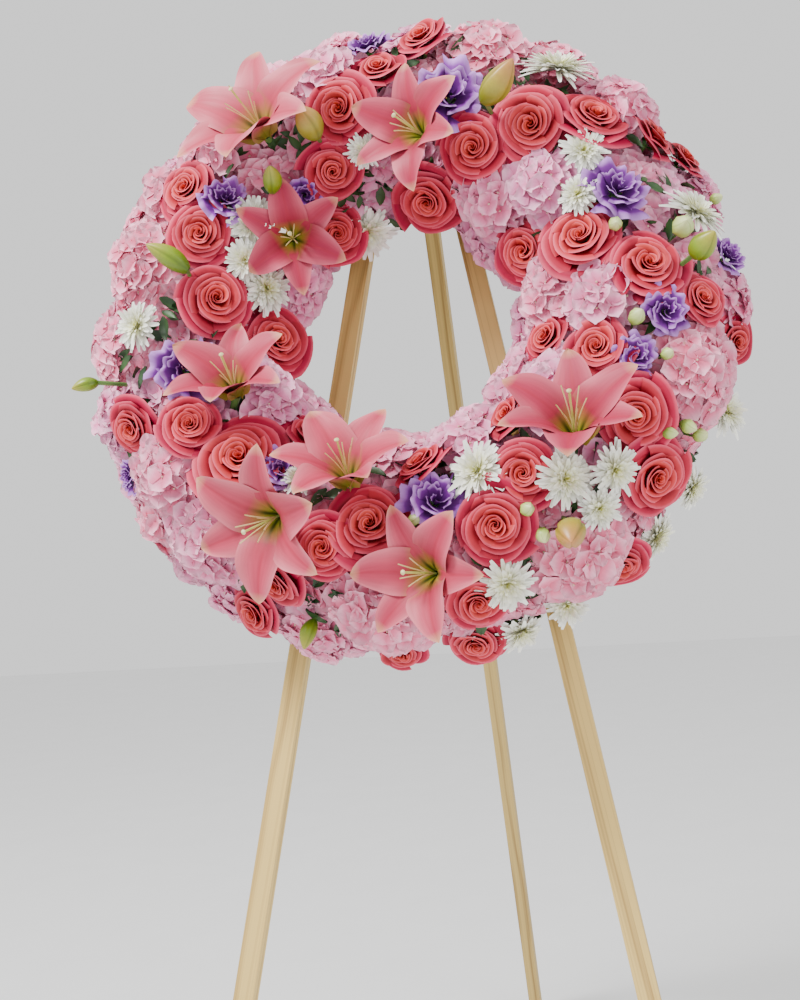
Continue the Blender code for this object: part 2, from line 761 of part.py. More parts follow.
def make_rear_leg(pivot, parent):
    """The rear leg hangs from the pin and swings in the cheeks. Its own origin is on the pin's axis."""
    down = Vector((0, math.sin(REAR_SPREAD), -math.cos(REAR_SPREAD)))
    back = Vector((0, math.cos(REAR_SPREAD), math.sin(REAR_SPREAD)))
    half, deep = REAR_WIDTH / 2, REAR_DEPTH / 2
    corners = [(-half, -deep), (half, -deep), (half, deep), (-half, deep)]
    top, foot = [], []
    for x, b in corners:
        line = Vector((x, 0, 0)) + back * b
        top.append(line - down * REAR_TOP)
        foot.append(line + down * ((pivot.z + line.z) / math.cos(REAR_SPREAD)))
    leg = new_object("rear_leg", *prism_between(foot, top), "pine", parent)
    drill = rod((-half - PAST, 0, 0), (half + PAST, 0, 0), PIN_HOLE, PIN_SIDES)
    cut(leg, [new_object("rear_leg_drill", *drill, "steel", parent)])
    return leg


def make_tie(name, x0, x1, up, parent):
    """A tie of wire round the back of a leg, its two ends through the tray's floor."""
    behind = LEG_BACK - 2 * MM
    inside = FOAM_BACK - GAP - 0.4 * MM
    route = [(x0, up, inside), (x0, up, behind), (x1, up, behind), (x1, up, inside)]
    curve = bpy.data.curves.new(name, "CURVE")
    curve.dimensions = "3D"
    curve.bevel_depth, curve.bevel_resolution, curve.use_fill_caps = TIE_RADIUS, 1, True
    line = curve.splines.new("POLY")
    line.points.add(len(route) - 1)
    for point, place in zip(line.points, route):
        point.co = (*place, 1)
    tie = bpy.data.objects.new(name, curve)
    bpy.context.scene.collection.objects.link(tie)
    curve.materials.append(material("black_tie"))
    tie.parent = parent
    return tie


def foot_on_foam(bloom, foam_tree):
    """Where the bloom's axis comes within a gap of the foam."""
    start = Vector(bloom.place)
    hit, normal, _, _ = foam_tree.ray_cast(start, Vector(-bloom.normal))
    lift = 1.4 * GAP / max(0.4, abs(normal.dot(Vector(bloom.normal))))
    return np.array(hit) + lift * bloom.normal


def make_flowers(parent, foam):
    shape = bmesh.new()
    shape.from_mesh(foam.data)
    foam_tree = BVHTree.FromBMesh(shape)
    blooms = fill_with_hydrangea(all_blooms())
    for bloom in blooms:
        bloom.rings = HEADS[bloom.kind](bloom)

    def joined(one, other):
        return FAMILIES[one.kind] == FAMILIES[other.kind]

    trees = {}
    for bloom in blooms:
        bloom.find_walls(blooms, joined)
        trees[bloom] = search_trees([head_piece(bloom, foam_tree)])[0]
    touching = touching_pairs(blooms, trees, joined)
    groups, stems, together = [], [], set()
    for name, family, finish, *limits in GROUP_PLANS:
        members = [b for b in blooms if FAMILIES[b.kind] == family]
        found = grouped(members, trees, touching, stems, *limits)
        print(name, len(members), "in", len(found), [(len(g), len(pairs) // 2) for g, _, pairs in found])
        for number, (group, links, pairs) in enumerate(found, 1):
            together |= pairs
            groups.append((f"{name}_{number}", finish, group, links))
    for bloom in blooms:
        bloom.find_walls(blooms, lambda a, b: (a, b) in together)
    for name, finish, group, links in groups:
        bodies = []
        for bloom in group:
            bodies.append(head_piece(bloom, foam_tree))
            if bloom.kind == "lily":
                length, turn, facing = bloom.shape
                bodies += lily_pieces(bloom, length * MM, turn, facing)
            if bloom.kind == "lily_bud":
                bodies += lily_bud_pieces(bloom, *bloom.shape)
        for path in links:
            bodies += stem_pieces(path, 2.2 * MM)
        fused(name, bodies, finish, parent)
    shape.free()


def centre_over_origin(roots):
    """Moves the whole object so that the middle of its extent is over the origin."""
    bpy.context.view_layer.update()
    graph = bpy.context.evaluated_depsgraph_get()
    corners = []
    for obj in bpy.context.scene.objects:
        if obj.type in ("MESH", "CURVE") and not obj.hide_render:
            placed = obj.evaluated_get(graph)
            corners += [placed.matrix_world @ v.co for v in placed.to_mesh().vertices]
            placed.to_mesh_clear()
    for axis in (0, 1):
        values = [corner[axis] for corner in corners]
        for root in roots:
            root.location[axis] -= (min(values) + max(values)) / 2
    bpy.context.view_layer.update()
    print("hinge axis at", [round(value, 5) for value in roots[1].location])


def main():
    clear_scene()
    plane = bpy.data.objects.new("leaning_plane", None)
    bpy.context.scene.collection.objects.link(plane)
    plane.location = (0, 0, RING_HEIGHT)
    plane.rotation_euler = (math.pi / 2 - LEAN, 0, 0)
    high, low, beside = 270 * MM, -165 * MM, LEG_WIDTH / 2 + 4 * MM
    ties = {
        "tie_top": (-leg_x(high) - beside, leg_x(high) + beside, high),
        "tie_left": (-leg_x(low) - beside, -leg_x(low) + beside, low),
        "tie_right": (leg_x(low) - beside, leg_x(low) + beside, low),
    }
    holes = [(x, up) for x0, x1, up in ties.values() for x in (x0, x1)]
    make_tray(plane, holes)
    foam = make_foam(plane)
    for name, (x0, x1, up) in ties.items():
        make_tie(name, x0, x1, up, plane)
    for side in (-1, 1):
        make_front_leg(side, plane)
    make_cross_bar(plane)
    make_head_block(plane)
    make_hinge_pin(plane)
    make_flowers(plane, foam)
    pivot = PLANE_TO_WORLD @ Vector((0, PIVOT_UP, PIVOT_BACK))
    hinge = bpy.data.objects.new("rear_hinge", None)
    bpy.context.scene.collection.objects.link(hinge)
    hinge.location = pivot
    make_rear_leg(pivot, hinge)
    centre_over_origin((plane, hinge))


main()
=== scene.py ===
import math

import bpy
import numpy as np
from mathutils import Matrix, Vector
from mathutils.bvhtree import BVHTree


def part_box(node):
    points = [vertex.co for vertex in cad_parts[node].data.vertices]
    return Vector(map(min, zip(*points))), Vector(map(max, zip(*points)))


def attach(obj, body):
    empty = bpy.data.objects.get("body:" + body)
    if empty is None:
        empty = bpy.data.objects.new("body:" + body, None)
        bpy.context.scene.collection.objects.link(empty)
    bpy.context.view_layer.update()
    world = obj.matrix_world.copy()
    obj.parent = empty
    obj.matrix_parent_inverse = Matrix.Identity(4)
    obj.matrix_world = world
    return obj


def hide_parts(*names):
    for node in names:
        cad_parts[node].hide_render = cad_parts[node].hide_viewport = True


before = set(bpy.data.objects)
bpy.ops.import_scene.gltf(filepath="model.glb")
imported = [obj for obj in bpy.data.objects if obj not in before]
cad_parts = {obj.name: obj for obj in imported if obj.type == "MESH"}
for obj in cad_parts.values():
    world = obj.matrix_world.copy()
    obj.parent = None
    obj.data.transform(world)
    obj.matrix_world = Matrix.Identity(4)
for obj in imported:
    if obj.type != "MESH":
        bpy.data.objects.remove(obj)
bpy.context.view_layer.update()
mm = 0.001

# The wreath's own axes: x across, y up the leaning plane, z out of its front, from the ring's centre
ring = {
    "lean": math.radians(12),
    "rearLean": math.radians(21),
    "radius": 243 * mm,
    "flowerLevel": 116 * mm,
    "lilyLevel": 125 * mm,
    "foamLevel": 44 * mm,
    "trayMiddle": -53.3 * mm,
    "backLimit": -60 * mm,
    "seed": 11,
}
up = np.array([0.0, math.sin(ring["lean"]), math.cos(ring["lean"])])
front = np.array([0.0, -math.cos(ring["lean"]), math.sin(ring["lean"])])
trayLow, trayHigh = (np.array(corner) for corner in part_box("ring_tray"))
ringCentre = (trayLow + trayHigh) / 2 - ring["trayMiddle"] * front

# Blooms by clock angle, angle round the tube and radius, in degrees and millimetres
layout = {
    "rose": [
        (0, 11, 24), (349, -9, 33), (340, -40, 27), (31, -30, 31), (43, -4, 34), (52, 23, 32),
        (61, 48, 24), (64, 75, 22), (305, 13, 27), (296, -10, 31), (278, -29, 33), (329, -76, 27),
        (15, -70, 33), (268, -72, 33), (69, -57, 27), (78, -19, 35), (89, 13, 31), (95, 43, 25),
        (108, -42, 23), (110, -9, 27), (121, 23, 32), (128, 52, 34), (146, -2, 29), (157, 13, 32),
        (166, 48, 27), (185, -3, 36), (195, 12, 27), (204, 39, 28), (225, -11, 44), (241, -1, 27),
        (249, 34, 27), (171, -38, 26), (215, -55, 27), (138, -37, 22), (209, 77, 27), (170, 97, 27),
        (183, 95, 22), (98, 89, 22), (142, 85, 26), (8, 39, 25),
    ],
    "mum": [
        (38, 36, 37), (58, 4, 21), (67, -11, 20), (307, -33, 28), (288, -57, 27), (294, -39, 22),
        (270, 15, 25), (78, 48, 31), (155, -17, 28), (140, 14, 27), (132, 29, 24), (139, 37, 20),
        (160, 44, 25), (153, 84, 21), (162, 98, 24), (110, 91, 27), (124, 95, 21), (134, 100, 24),
        (353, -35, 17), (207, -19, 16), (342, -89, 28), (179, 12, 12),
    ],
    "lisianthus": [
        (357, 35, 22), (19, -6, 34), (70, 8, 29), (83, 82, 20), (308, -12, 24), (256, -10, 31),
        (213, -20, 21), (168, -11, 28), (99, 22, 21), (110, 11, 19), (243, 57, 18), (327, -43, 17),
    ],
    "smallBud": [
        (20, -23, 6), (79, 0, 7), (102, 7, 8), (108, 25, 6), (174, -2, 6), (150, 14, 7), (150, 28, 7),
        (121, 41, 6), (118, 49, 7), (118, 60, 7), (82, 33, 11), (73, 79, 6),
    ],
}
# Lilies: clock, tube, petal length, turn, the way they face (across, up, out), and how deep their pink is,
# from 0 to 1
lilies = [
    (328, -3.5, 104, 97, (-0.25, 0.32, 0.91), 0.25),
    (14, -29.5, 80, 93, (-0.4, 0.0, 0.9), 0.8),
    (312, -57, 74, 35, (0.2, -0.3, 0.93), 1.0),
    (242.5, -31.5, 84, 90, (0.0, 0.52, 0.85), 0.7),
    (192, -24, 90, 60, (0.0, 0.56, 0.83), 0.35),
    (207, 3, 94, 77, (-0.3, -0.42, 0.86), 0.35),
    (171.5, 26, 84, 113, (-0.4, -0.1, 0.9), 0.5),
    (132.5, 5, 94, 88, (0.0, 0.56, 0.83), 0.85),
]
# Lily buds: clock, tube, length, thickness, and the way they point
lilyBuds = [
    (283, -13, 50, 22, (-0.75, 0.48, 0.45)),
    (318.5, -30, 34, 20, (0.2, 0.4, 0.9)),
    (340.5, -21.5, 40, 28, (-0.24, 0.45, 0.86)),
    (31.5, -8, 54, 28, (0.65, 0.4, 0.64)),
    (89, 31, 38, 24, (0.5, 0.2, 0.8)),
    (260, 40, 28, 15, (-0.85, -0.3, 0.4)),
    (197, 64, 33, 17, (-0.24, -0.92, 0.31)),
    (145, 31, 44, 28, (0.0, -0.5, 0.86)),
]
headRules = {
    "sunk": 0.25,  # share of a cup's radius that lies among the florets
    "budRoom": 8 * mm,
    "lilyFoot": 17,
    "lilyBudFoot": 9,
    "turning": (45, 40, 0.75),  # tube angle where blooms start to look forward, over how much, how far
}
stems = {
    "sides": 7,
    "foot": 6 * mm,
    "lilyFoot": 4 * mm,
    "cup": (2.2 * mm, 2.8 * mm),
    "smallBud": (1.6 * mm, 1.2 * mm),
    "lily": (3.0 * mm, 4.5 * mm),
    "lilyBud": (2.0 * mm, 2.6 * mm),
}
goldenTurn = 2.39996
rng = np.random.default_rng(ring["seed"])


# Shader writing


class Value:
    # A number running through a material, so that its maths reads as an expression
    def __init__(self, tree, socket):
        self.tree, self.socket = tree, socket

    def maths(self, operation, *inputs):
        node = self.tree.nodes.new("ShaderNodeMath")
        node.operation = operation
        for slot, given in zip(node.inputs, inputs):
            if isinstance(given, Value):
                self.tree.links.new(given.socket, slot)
            else:
                slot.default_value = given
        return Value(self.tree, node.outputs[0])

    def __add__(self, other):
        return self.maths("ADD", self, other)

    def __radd__(self, other):
        return self.maths("ADD", other, self)

    def __sub__(self, other):
        return self.maths("SUBTRACT", self, other)

    def __rsub__(self, other):
        return self.maths("SUBTRACT", other, self)

    def __mul__(self, other):
        return self.maths("MULTIPLY", self, other)

    def __rmul__(self, other):
        return self.maths("MULTIPLY", other, self)

    def __truediv__(self, other):
        return self.maths("DIVIDE", self, other)

    def __pow__(self, other):
        return self.maths("POWER", self, other)

    def shaped(self, operation):
        return self.maths(operation, self)

    def clipped(self):
        return self.maths("MINIMUM", self.maths("MAXIMUM", self, 0.0), 1.0)

    def between(self, low, high):
        # 0 below low, 1 above high
        return ((self - low) / (high - low)).clipped()


class Finish:
    # One material and the few ways in which its nodes are made
    def __init__(self, name):
        self.material = bpy.data.materials.new(name)
        self.material.use_nodes = True
        self.tree = self.material.node_tree
        self.shader = self.tree.nodes["Principled BSDF"]

    def node(self, kind, settings=None, **values):
        made = self.tree.nodes.new(kind)
        for key, setting in (settings or {}).items():
            if key == "stops":
                for stop, (place, colour) in zip(made.color_ramp.elements, setting[:2]):
                    stop.position, stop.color = place, (*colour, 1)
                for place, colour in setting[2:]:
                    made.color_ramp.elements.new(place).color = (*colour, 1)
            else:
                setattr(made, key, setting)
        for key, value in values.items():
            self.feed(made.inputs[key], value)
        return made

    def feed(self, slot, value):
        if isinstance(value, Value):
            self.tree.links.new(value.socket, slot)
        elif isinstance(value, bpy.types.NodeSocket):
            self.tree.links.new(value, slot)
        elif isinstance(value, tuple) and slot.type == "RGBA":
            slot.default_value = (*value, 1)
        else:
            slot.default_value = value

    def value(self, socket):
        return Value(self.tree, socket)

    def mix(self, factor, first, second, blend="MIX"):
        made = self.tree.nodes.new("ShaderNodeMix")
        made.data_type, made.blend_type = "RGBA", blend
        self.feed(made.inputs[0], factor)
        self.feed(made.inputs[6], first)
        self.feed(made.inputs[7], second)
        return made.outputs[2]

    def shaded(self, colour, light):
        # The colour made lighter or darker by a number
        tint = self.node("ShaderNodeCombineColor", None, Red=light, Green=light, Blue=light)
        return self.mix(1.0, colour, tint.outputs[0], "MULTIPLY")

    def tones(self):
        # Along the petal, across it, its own random number, and its layer
        tone = self.node("ShaderNodeAttribute", {"attribute_name": "tone"})
        parts = self.node("ShaderNodeSeparateColor", None, Color=tone.outputs["Color"])
        return [self.value(out) for out in parts.outputs[:3]] + [self.value(tone.outputs["Alpha"])]

    def noise(self, scale, detail, vector=None):
        if vector is None:
            vector = self.node("ShaderNodeTexCoord").outputs["Object"]
        made = self.node("ShaderNodeTexNoise", None, Scale=scale, Detail=detail, Vector=vector)
        return self.value(made.outputs["Fac"])

    def finish(self, colour, roughness, height, bump, depth, **constants):
        relief = self.node("ShaderNodeBump", None, Strength=bump, Distance=depth, Height=height)
        self.feed(self.shader.inputs["Base Color"], colour)
        self.feed(self.shader.inputs["Roughness"], roughness)
        self.feed(self.shader.inputs["Normal"], relief.outputs["Normal"])
        for key, value in constants.items():
            self.shader.inputs[key.replace("_", " ")].default_value = value
        return self.material


def petalFinish(name, heart, body, rim, rimShare, shade, veins):
    # Heart colour inside, body colour outside, a paler rim, a foot darkened as painted shade of the
    # creases between petals, and fine veins
    made = Finish(name)
    along, across, chance, layer = made.tones()
    base = made.mix(layer, heart, body)
    base = made.mix(along.between(1 - rimShare, 1.0) * 0.8, base, rim)
    # shade (low, high, strength): painted shade at the petal's foot, mixed towards deep and fading out
    # from low to high along the petal
    low, high, strength = shade
    deep = made.mix(1.0, base, tuple(0.8 * part for part in body), "MULTIPLY")
    base = made.mix((1 - along.between(low, high)) * strength, base, deep)
    spot = made.node("ShaderNodeCombineXYZ", None, X=across * veins, Y=along * 2.2, Z=chance * 40)
    streak = made.noise(1.0, 2.0, vector=spot.outputs[0])
    blotch = made.noise(55.0, 2.0)
    light = 0.83 + chance * 0.28 + (streak - 0.5) * 0.32 + (blotch - 0.5) * 0.16
    base = made.shaded(base, light)
    return made.finish(base, 0.6, streak, 0.35, 0.0005, Specular_IOR_Level=0.2)


# Petals as sheets of points


class Sheaf:
    # Gathers sheets of points into one mesh with several finishes
    def __init__(self, name, finishes):
        self.name, self.finishes = name, finishes
        self.points, self.faces, self.tones, self.slots = [], [], [], []
        self.count = 0

    def sheet(self, points, tone, finish):
        rows, columns = points.shape[:2]
        index = np.arange(rows * columns).reshape(rows, columns) + self.count
        corners = (index[:-1, :-1], index[:-1, 1:], index[1:, 1:], index[1:, :-1])
        self.faces.append(np.stack([part.ravel() for part in corners], 1))
        self.points.append(points.reshape(-1, 3))
        self.tones.append(tone.reshape(-1, 4))
        self.slots.append(np.full((rows - 1) * (columns - 1), self.finishes.index(finish)))
        self.count += rows * columns

    def build(self):
        points, faces = toWorld(np.vstack(self.points)), np.vstack(self.faces)
        mesh = bpy.data.meshes.new(self.name)
        mesh.vertices.add(len(points))
        mesh.vertices.foreach_set("co", points.ravel())
        mesh.loops.add(faces.size)
        mesh.loops.foreach_set("vertex_index", faces.ravel().astype(np.int32))
        mesh.polygons.add(len(faces))
        mesh.polygons.foreach_set("loop_start", np.arange(0, faces.size, 4, dtype=np.int32))
        mesh.polygons.foreach_set("material_index", np.concatenate(self.slots).astype(np.int32))
        tone = mesh.attributes.new("tone", "FLOAT_COLOR", "POINT")
        tone.data.foreach_set("color", np.vstack(self.tones).astype(np.float32).ravel())
        mesh.update()
        mesh.validate()
        mesh.shade_smooth()
        for finish in self.finishes:
            mesh.materials.append(finishes[finish])
        made = bpy.data.objects.new(self.name, mesh)
        bpy.context.scene.collection.objects.link(made)
        return made


def toWorld(points):
    across = np.array([1.0, 0.0, 0.0])
    return ringCentre + points[:, :1] * across + points[:, 1:2] * up + points[:, 2:] * front


def toneGrid(rows, columns, chance, layer):
    tone = np.empty((rows, columns, 4))
    tone[..., 0] = np.linspace(0, 1, rows)[:, None]
    tone[..., 1] = np.linspace(0, 1, columns)[None]
    tone[..., 2] = chance
    tone[..., 3] = layer
    return tone


def grids(rows, columns):
    return np.meshgrid(np.linspace(0, 1, rows), np.linspace(-1, 1, columns), indexing="ij")


def unit(vector):
    return vector / np.linalg.norm(vector, axis=-1, keepdims=True)


def tubeCentres(points):
    flat = points * np.array([1.0, 1.0, 0.0])
    return unit(flat) * ring["radius"]


def lifted(points, level):
    # Points nearer the tube's middle than this level are moved straight out to it
    centres = tubeCentres(points)
    away = points - centres
    distance = np.linalg.norm(away, axis=-1, keepdims=True)
    return np.where(distance < level, centres + away * (level / distance), points)


def ringPlace(clock, tube):
    a, t = math.radians(clock), math.radians(tube)
    radial = np.array([math.sin(a), math.cos(a), 0.0])
    normal = math.sin(t) * radial + np.array([0.0, 0.0, math.cos(t)])
    clockwise = np.array([math.cos(a), -math.sin(a), 0.0])
    outward = math.cos(t) * radial - np.array([0.0, 0.0, math.sin(t)])
    return ring["radius"] * radial, normal, clockwise, outward


def head(kind, clock, tube, radius, shape=None):
    centre, normal, clockwise, outward = ringPlace(clock, tube)
    radius *= mm
    start, over, most = headRules["turning"]
    forward = most * min(1, max(0, abs(tube) - start) / over)
    sink = headRules["sunk"] * radius if kind in ("rose", "mum", "lisianthus") else 0.0
    return {
        "kind": kind,
        "tube": tube,
        "radius": radius,
        "claim": radius + (headRules["budRoom"] if kind == "smallBud" else 0.0),
        "shape": shape,
        "normal": normal,
        "facing": unit(normal + np.array([0.0, 0.0, forward])),
        "axes": (clockwise, outward),
        "place": centre + (ring["flowerLevel"] - sink) * normal,
        "centre": centre,
    }


def allHeads():
    heads = [head(kind, *place) for kind, places in layout.items() for place in places]
    for kind, foot, places in (("lily", "lilyFoot", lilies), ("lilyBud", "lilyBudFoot", lilyBuds)):
        heads += [head(kind, clock, tube, headRules[foot], shape) for clock, tube, *shape in places]
    return heads


hydrangea = {
    "largest": 46,
    "smallest": 26,
    "margin": 6,
    "tubes": (-98, 100),
    "steps": (6, 3),  # of the search, in degrees round the tube and round the ring
    "claim": (0.62, 14 * mm),
    "rows": (-108, 108),
    "spacing": 13 * mm,
    "jitter": 0.12,
    "floret": 16.5 * mm,
    "sizes": (0.85, 1.15),
    "shapes": 10,
    "petals": 4,
    "grid": (5, 5),  # points along and across one petal
    "keepOut": 0.9,
    "dome": (3 * mm, 17 * mm, 1.4),  # height of the crown, fall towards the rim, and where it ends
    "uneven": 1.6 * mm,
    "open": 0.5,
    "forward": 0.35,
    "lean": 0.2,
    "swell": 7 * mm,  # how much fuller the outer side is at this clock angle:
    "swellClock": 135,
    "edge": (1.2, 0.36, 8 * mm),  # florets near a bloom lie lower
    "under": (0.62, 40, 12 * mm),  # and on the flanks some lie under its rim
    "back": 6 * mm,
    "eye": (1.5 * mm, 1.3 * mm, 0.05 * mm),
    "eyeLevels": (1.2 * mm, 1.5 * mm, 1.0 * mm),  # its middle, and how far it goes below and above
}


def addHydrangea(heads):
    # Heads go wherever the widest space is left, as in the solids
    low, high = hydrangea["tubes"]
    tubeStep, clockStep = hydrangea["steps"]
    share, room = hydrangea["claim"]
    tubes, clocks = range(low, high + 1, tubeStep), range(0, 360, clockStep)
    spots = [(clock, tube) for tube in tubes for clock in clocks]
    places = np.array([head("hydrangea", *spot, 1)["place"] for spot in spots])
    free = np.full(len(spots), 1.0)
    for bloom in heads:
        free = np.minimum(free, np.linalg.norm(places - bloom["place"], axis=1) - bloom["claim"])
    while free.max() > hydrangea["smallest"] * mm:
        best = int(free.argmax())
        radius = min(hydrangea["largest"], free[best] / mm + hydrangea["margin"])
        made = head("hydrangea", *spots[best], radius)
        heads.append(made)
        gap = np.linalg.norm(places - made["place"], axis=1) - share * made["radius"] - room
        free = np.minimum(free, gap)
    return heads


def nodeOwners(prefix):
    # A search tree of each solid of one kind, to tell which solid a head belongs to
    trees = {}
    for name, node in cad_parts.items():
        if name.startswith(prefix):
            corners = [node.matrix_world @ corner.co for corner in node.data.vertices]
            sides = [tuple(side.vertices) for side in node.data.polygons]
            trees[name] = BVHTree.FromPolygons(corners, sides)
    return trees


def ownerOf(trees, place):
    spot = Vector(toWorld(place[None])[0])
    return min(trees, key=lambda name: trees[name].find_nearest(spot)[3])


def placed(local, place, axes, normal):
    side, other = axes
    return place + local[..., :1] * side + local[..., 1:2] * other + local[..., 2:] * normal


def tiltedAxes(normal, side, tilt, spin):
    # The head's own axes after a small random lean and a turn about its normal
    other = np.cross(normal, side)
    lean = unit(normal + tilt[0] * side + tilt[1] * other)
    across = unit(side - (side @ lean) * lean)
    along = np.cross(lean, across)
    turned = math.cos(spin) * across + math.sin(spin) * along
    return (turned, np.cross(lean, turned)), lean


def stem(sheaf, bloom, end, kind, foot="foot"):
    # From the foam to the head, with the radii at its two ends
    start = bloom["centre"] + (ring["foamLevel"] + stems[foot]) * bloom["normal"]
    low, high = stems[kind]
    along = unit(end - start)
    side = unit(np.cross(along, [0.3, 0.8, 0.5]))
    other = np.cross(along, side)
    turns = np.linspace(0, 2 * math.pi, stems["sides"])
    loop = np.cos(turns)[:, None] * side + np.sin(turns)[:, None] * other
    middle = (start + end) / 2 + 0.5 * (low + high) * loop
    rows = np.stack([start + low * loop, middle, end + high * loop])
    sheaf.sheet(rows, toneGrid(3, stems["sides"], rng.random(), 0.5), "stem")


# Roses

rose = {
    "petals": 23, "fewer": 7, "fewerBelow": 24 * mm, "rows": 10, "columns": 16, "tilt": 0.16,
    "reach": 1.15, "spacing": 1.35, "heart": 2.1, "outer": 1.28, "ruffle": 0.045, "lobes": 1.3,
    "twist": 0.09,
}
calyx = {"sepals": 5, "half": 0.45, "reach": (0.12, 0.5), "height": (-0.55, 0.25)}


def cupPetals(plan, count):
    # Petals spiralling out from a tight heart: tall in the middle, spread and rolled outside
    v, u = grids(plan["rows"], plan["columns"])
    edge = np.abs(u)
    made = []
    for i in range(count):
        f = (i + 0.5) / count  # 0 at the heart, 1 outermost
        angle = i * goldenTurn + rng.normal(0, 0.12)
        rim = plan["reach"] * (0.05 + 0.95 * f ** plan["spacing"]) * (1 + rng.normal(0, 0.03))
        half = plan["heart"] + (plan["outer"] - plan["heart"]) * f**0.5
        top = 0.27 + 0.42 * f - 0.72 * f**2
        lip = np.clip((v - 0.7) / 0.3, 0, 1) ** 2  # the last third rolls outward
        roll = 0.03 + 0.17 * f**1.5
        twist = plan["twist"] * rng.normal(1, 0.6) * u * v
        radius = rim * (0.42 + 0.58 * np.sin(v * math.pi / 2)) + roll * lip - 0.05 * f * (1 - v)
        radius += 0.09 * f * edge**2 * v + 0.05 * f * np.exp(-((u / 0.2) ** 2)) * lip
        height = top - (0.55 - 0.22 * f) * (1 - v) ** 1.2 - 0.65 * roll * lip
        height -= (0.04 + 0.2 * f) * edge**2.6 * v
        ripple = np.sin(plan["lobes"] * u * math.pi + rng.uniform(0, 6.3))
        wave = plan["ruffle"] * (0.25 + f) * v**2 * ripple
        turn = angle + u * half
        radius += 0.6 * wave + twist
        height += wave + 0.7 * f * twist + 0.03 * rng.normal()
        local = np.stack([radius * np.cos(turn), radius * np.sin(turn), height], -1)
        made.append((local, toneGrid(plan["rows"], plan["columns"], rng.random(), f)))
    return made


def sepals(sheaf, bloom, axes, lean):
    # The green cup under a head, which shows from the side and the back
    v, u = grids(4, 3)
    radius = bloom["radius"]
    foot, length = calyx["reach"]
    low, rise = calyx["height"]
    for i in range(calyx["sepals"]):
        turn = i * 2 * math.pi / calyx["sepals"] + u * calyx["half"] * (1 - v**2)
        reach = foot + length * v
        local = np.stack([reach * np.cos(turn), reach * np.sin(turn), low + rise * v**2], -1) * radius
        tone = toneGrid(4, 3, rng.random(), 0.5)
        sheaf.sheet(placed(local, bloom["place"], axes, lean), tone, "leaf")
    stem(sheaf, bloom, bloom["place"] - 0.5 * radius * lean, "cup")


def leaning(bloom, tilt):
    tilts, spin = rng.normal(0, tilt, 2), rng.uniform(0, 6.3)
    return tiltedAxes(bloom["facing"], bloom["axes"][0], tilts, spin)


def makeCup(sheaf, bloom, plan, finish, count):
    axes, lean = leaning(bloom, plan["tilt"])
    for local, tone in cupPetals(plan, count):
        sheaf.sheet(placed(local * bloom["radius"], bloom["place"], axes, lean), tone, finish)
    sepals(sheaf, bloom, axes, lean)


def makeRose(sheaf, bloom):
    small = bloom["radius"] <= rose["fewerBelow"]
    makeCup(sheaf, bloom, rose, "rose", rose["petals"] - (rose["fewer"] if small else 0))


# Lisianthus

lisianthus = {
    "petals": 14, "rows": 9, "columns": 15, "tilt": 0.2, "reach": 1.12,
    "spacing": 0.85, "heart": 1.1, "outer": 0.85, "ruffle": 0.13, "lobes": 2.8, "twist": 0.13,
}


def makeLisianthus(sheaf, bloom):
    makeCup(sheaf, bloom, lisianthus, "lisianthus", lisianthus["petals"])


smallBud = {"rows": 9, "columns": 13, "twist": 0.9, "foot": -1.1, "length": 2.9, "tilt": 0.35}


def makeSmallBud(sheaf, bloom):
    # A pointed closed bud, twisted, on its thin stem
    v, u = grids(smallBud["rows"], smallBud["columns"])
    turn = u * math.pi + smallBud["twist"] * v
    swell = np.sin(np.clip(v * 0.93 + 0.07, 0, 1) * math.pi) ** 0.8 * (1 + 0.08 * np.cos(5 * turn))
    height = smallBud["foot"] + smallBud["length"] * v
    local = np.stack([swell * np.cos(turn), swell * np.sin(turn), height], -1) * bloom["radius"]
    tilts = rng.normal(0, smallBud["tilt"], 2)
    axes, lean = tiltedAxes(bloom["normal"], bloom["axes"][0], tilts, 0.0)
    tone = toneGrid(smallBud["rows"], smallBud["columns"], rng.random(), 0.4)
    sheaf.sheet(placed(local, bloom["place"], axes, lean), tone, "bud")
    stem(sheaf, bloom, bloom["place"] - bloom["radius"] * lean, "smallBud")


# Chrysanthemums

mum = {
    "rings": 8, "rows": 6, "tilt": 0.15,
    "spiderFrom": 34 * mm,  # larger heads have more and narrower petals
    "spiderMore": 1.35,
    "widths": (0.115, 0.08),
    "petals": (22, 9),  # in the outer ring, and how many fewer at the heart
    "reach": (1.13, 0.8),
    "rise": (4, 62),
    "uneven": (0.09, 0.09, 8),  # of a petal's angle, reach and rise
    "droop": 0.13,
    "narrower": 0.45,  # the petals at the heart, by this share
    "heart": 30,
}


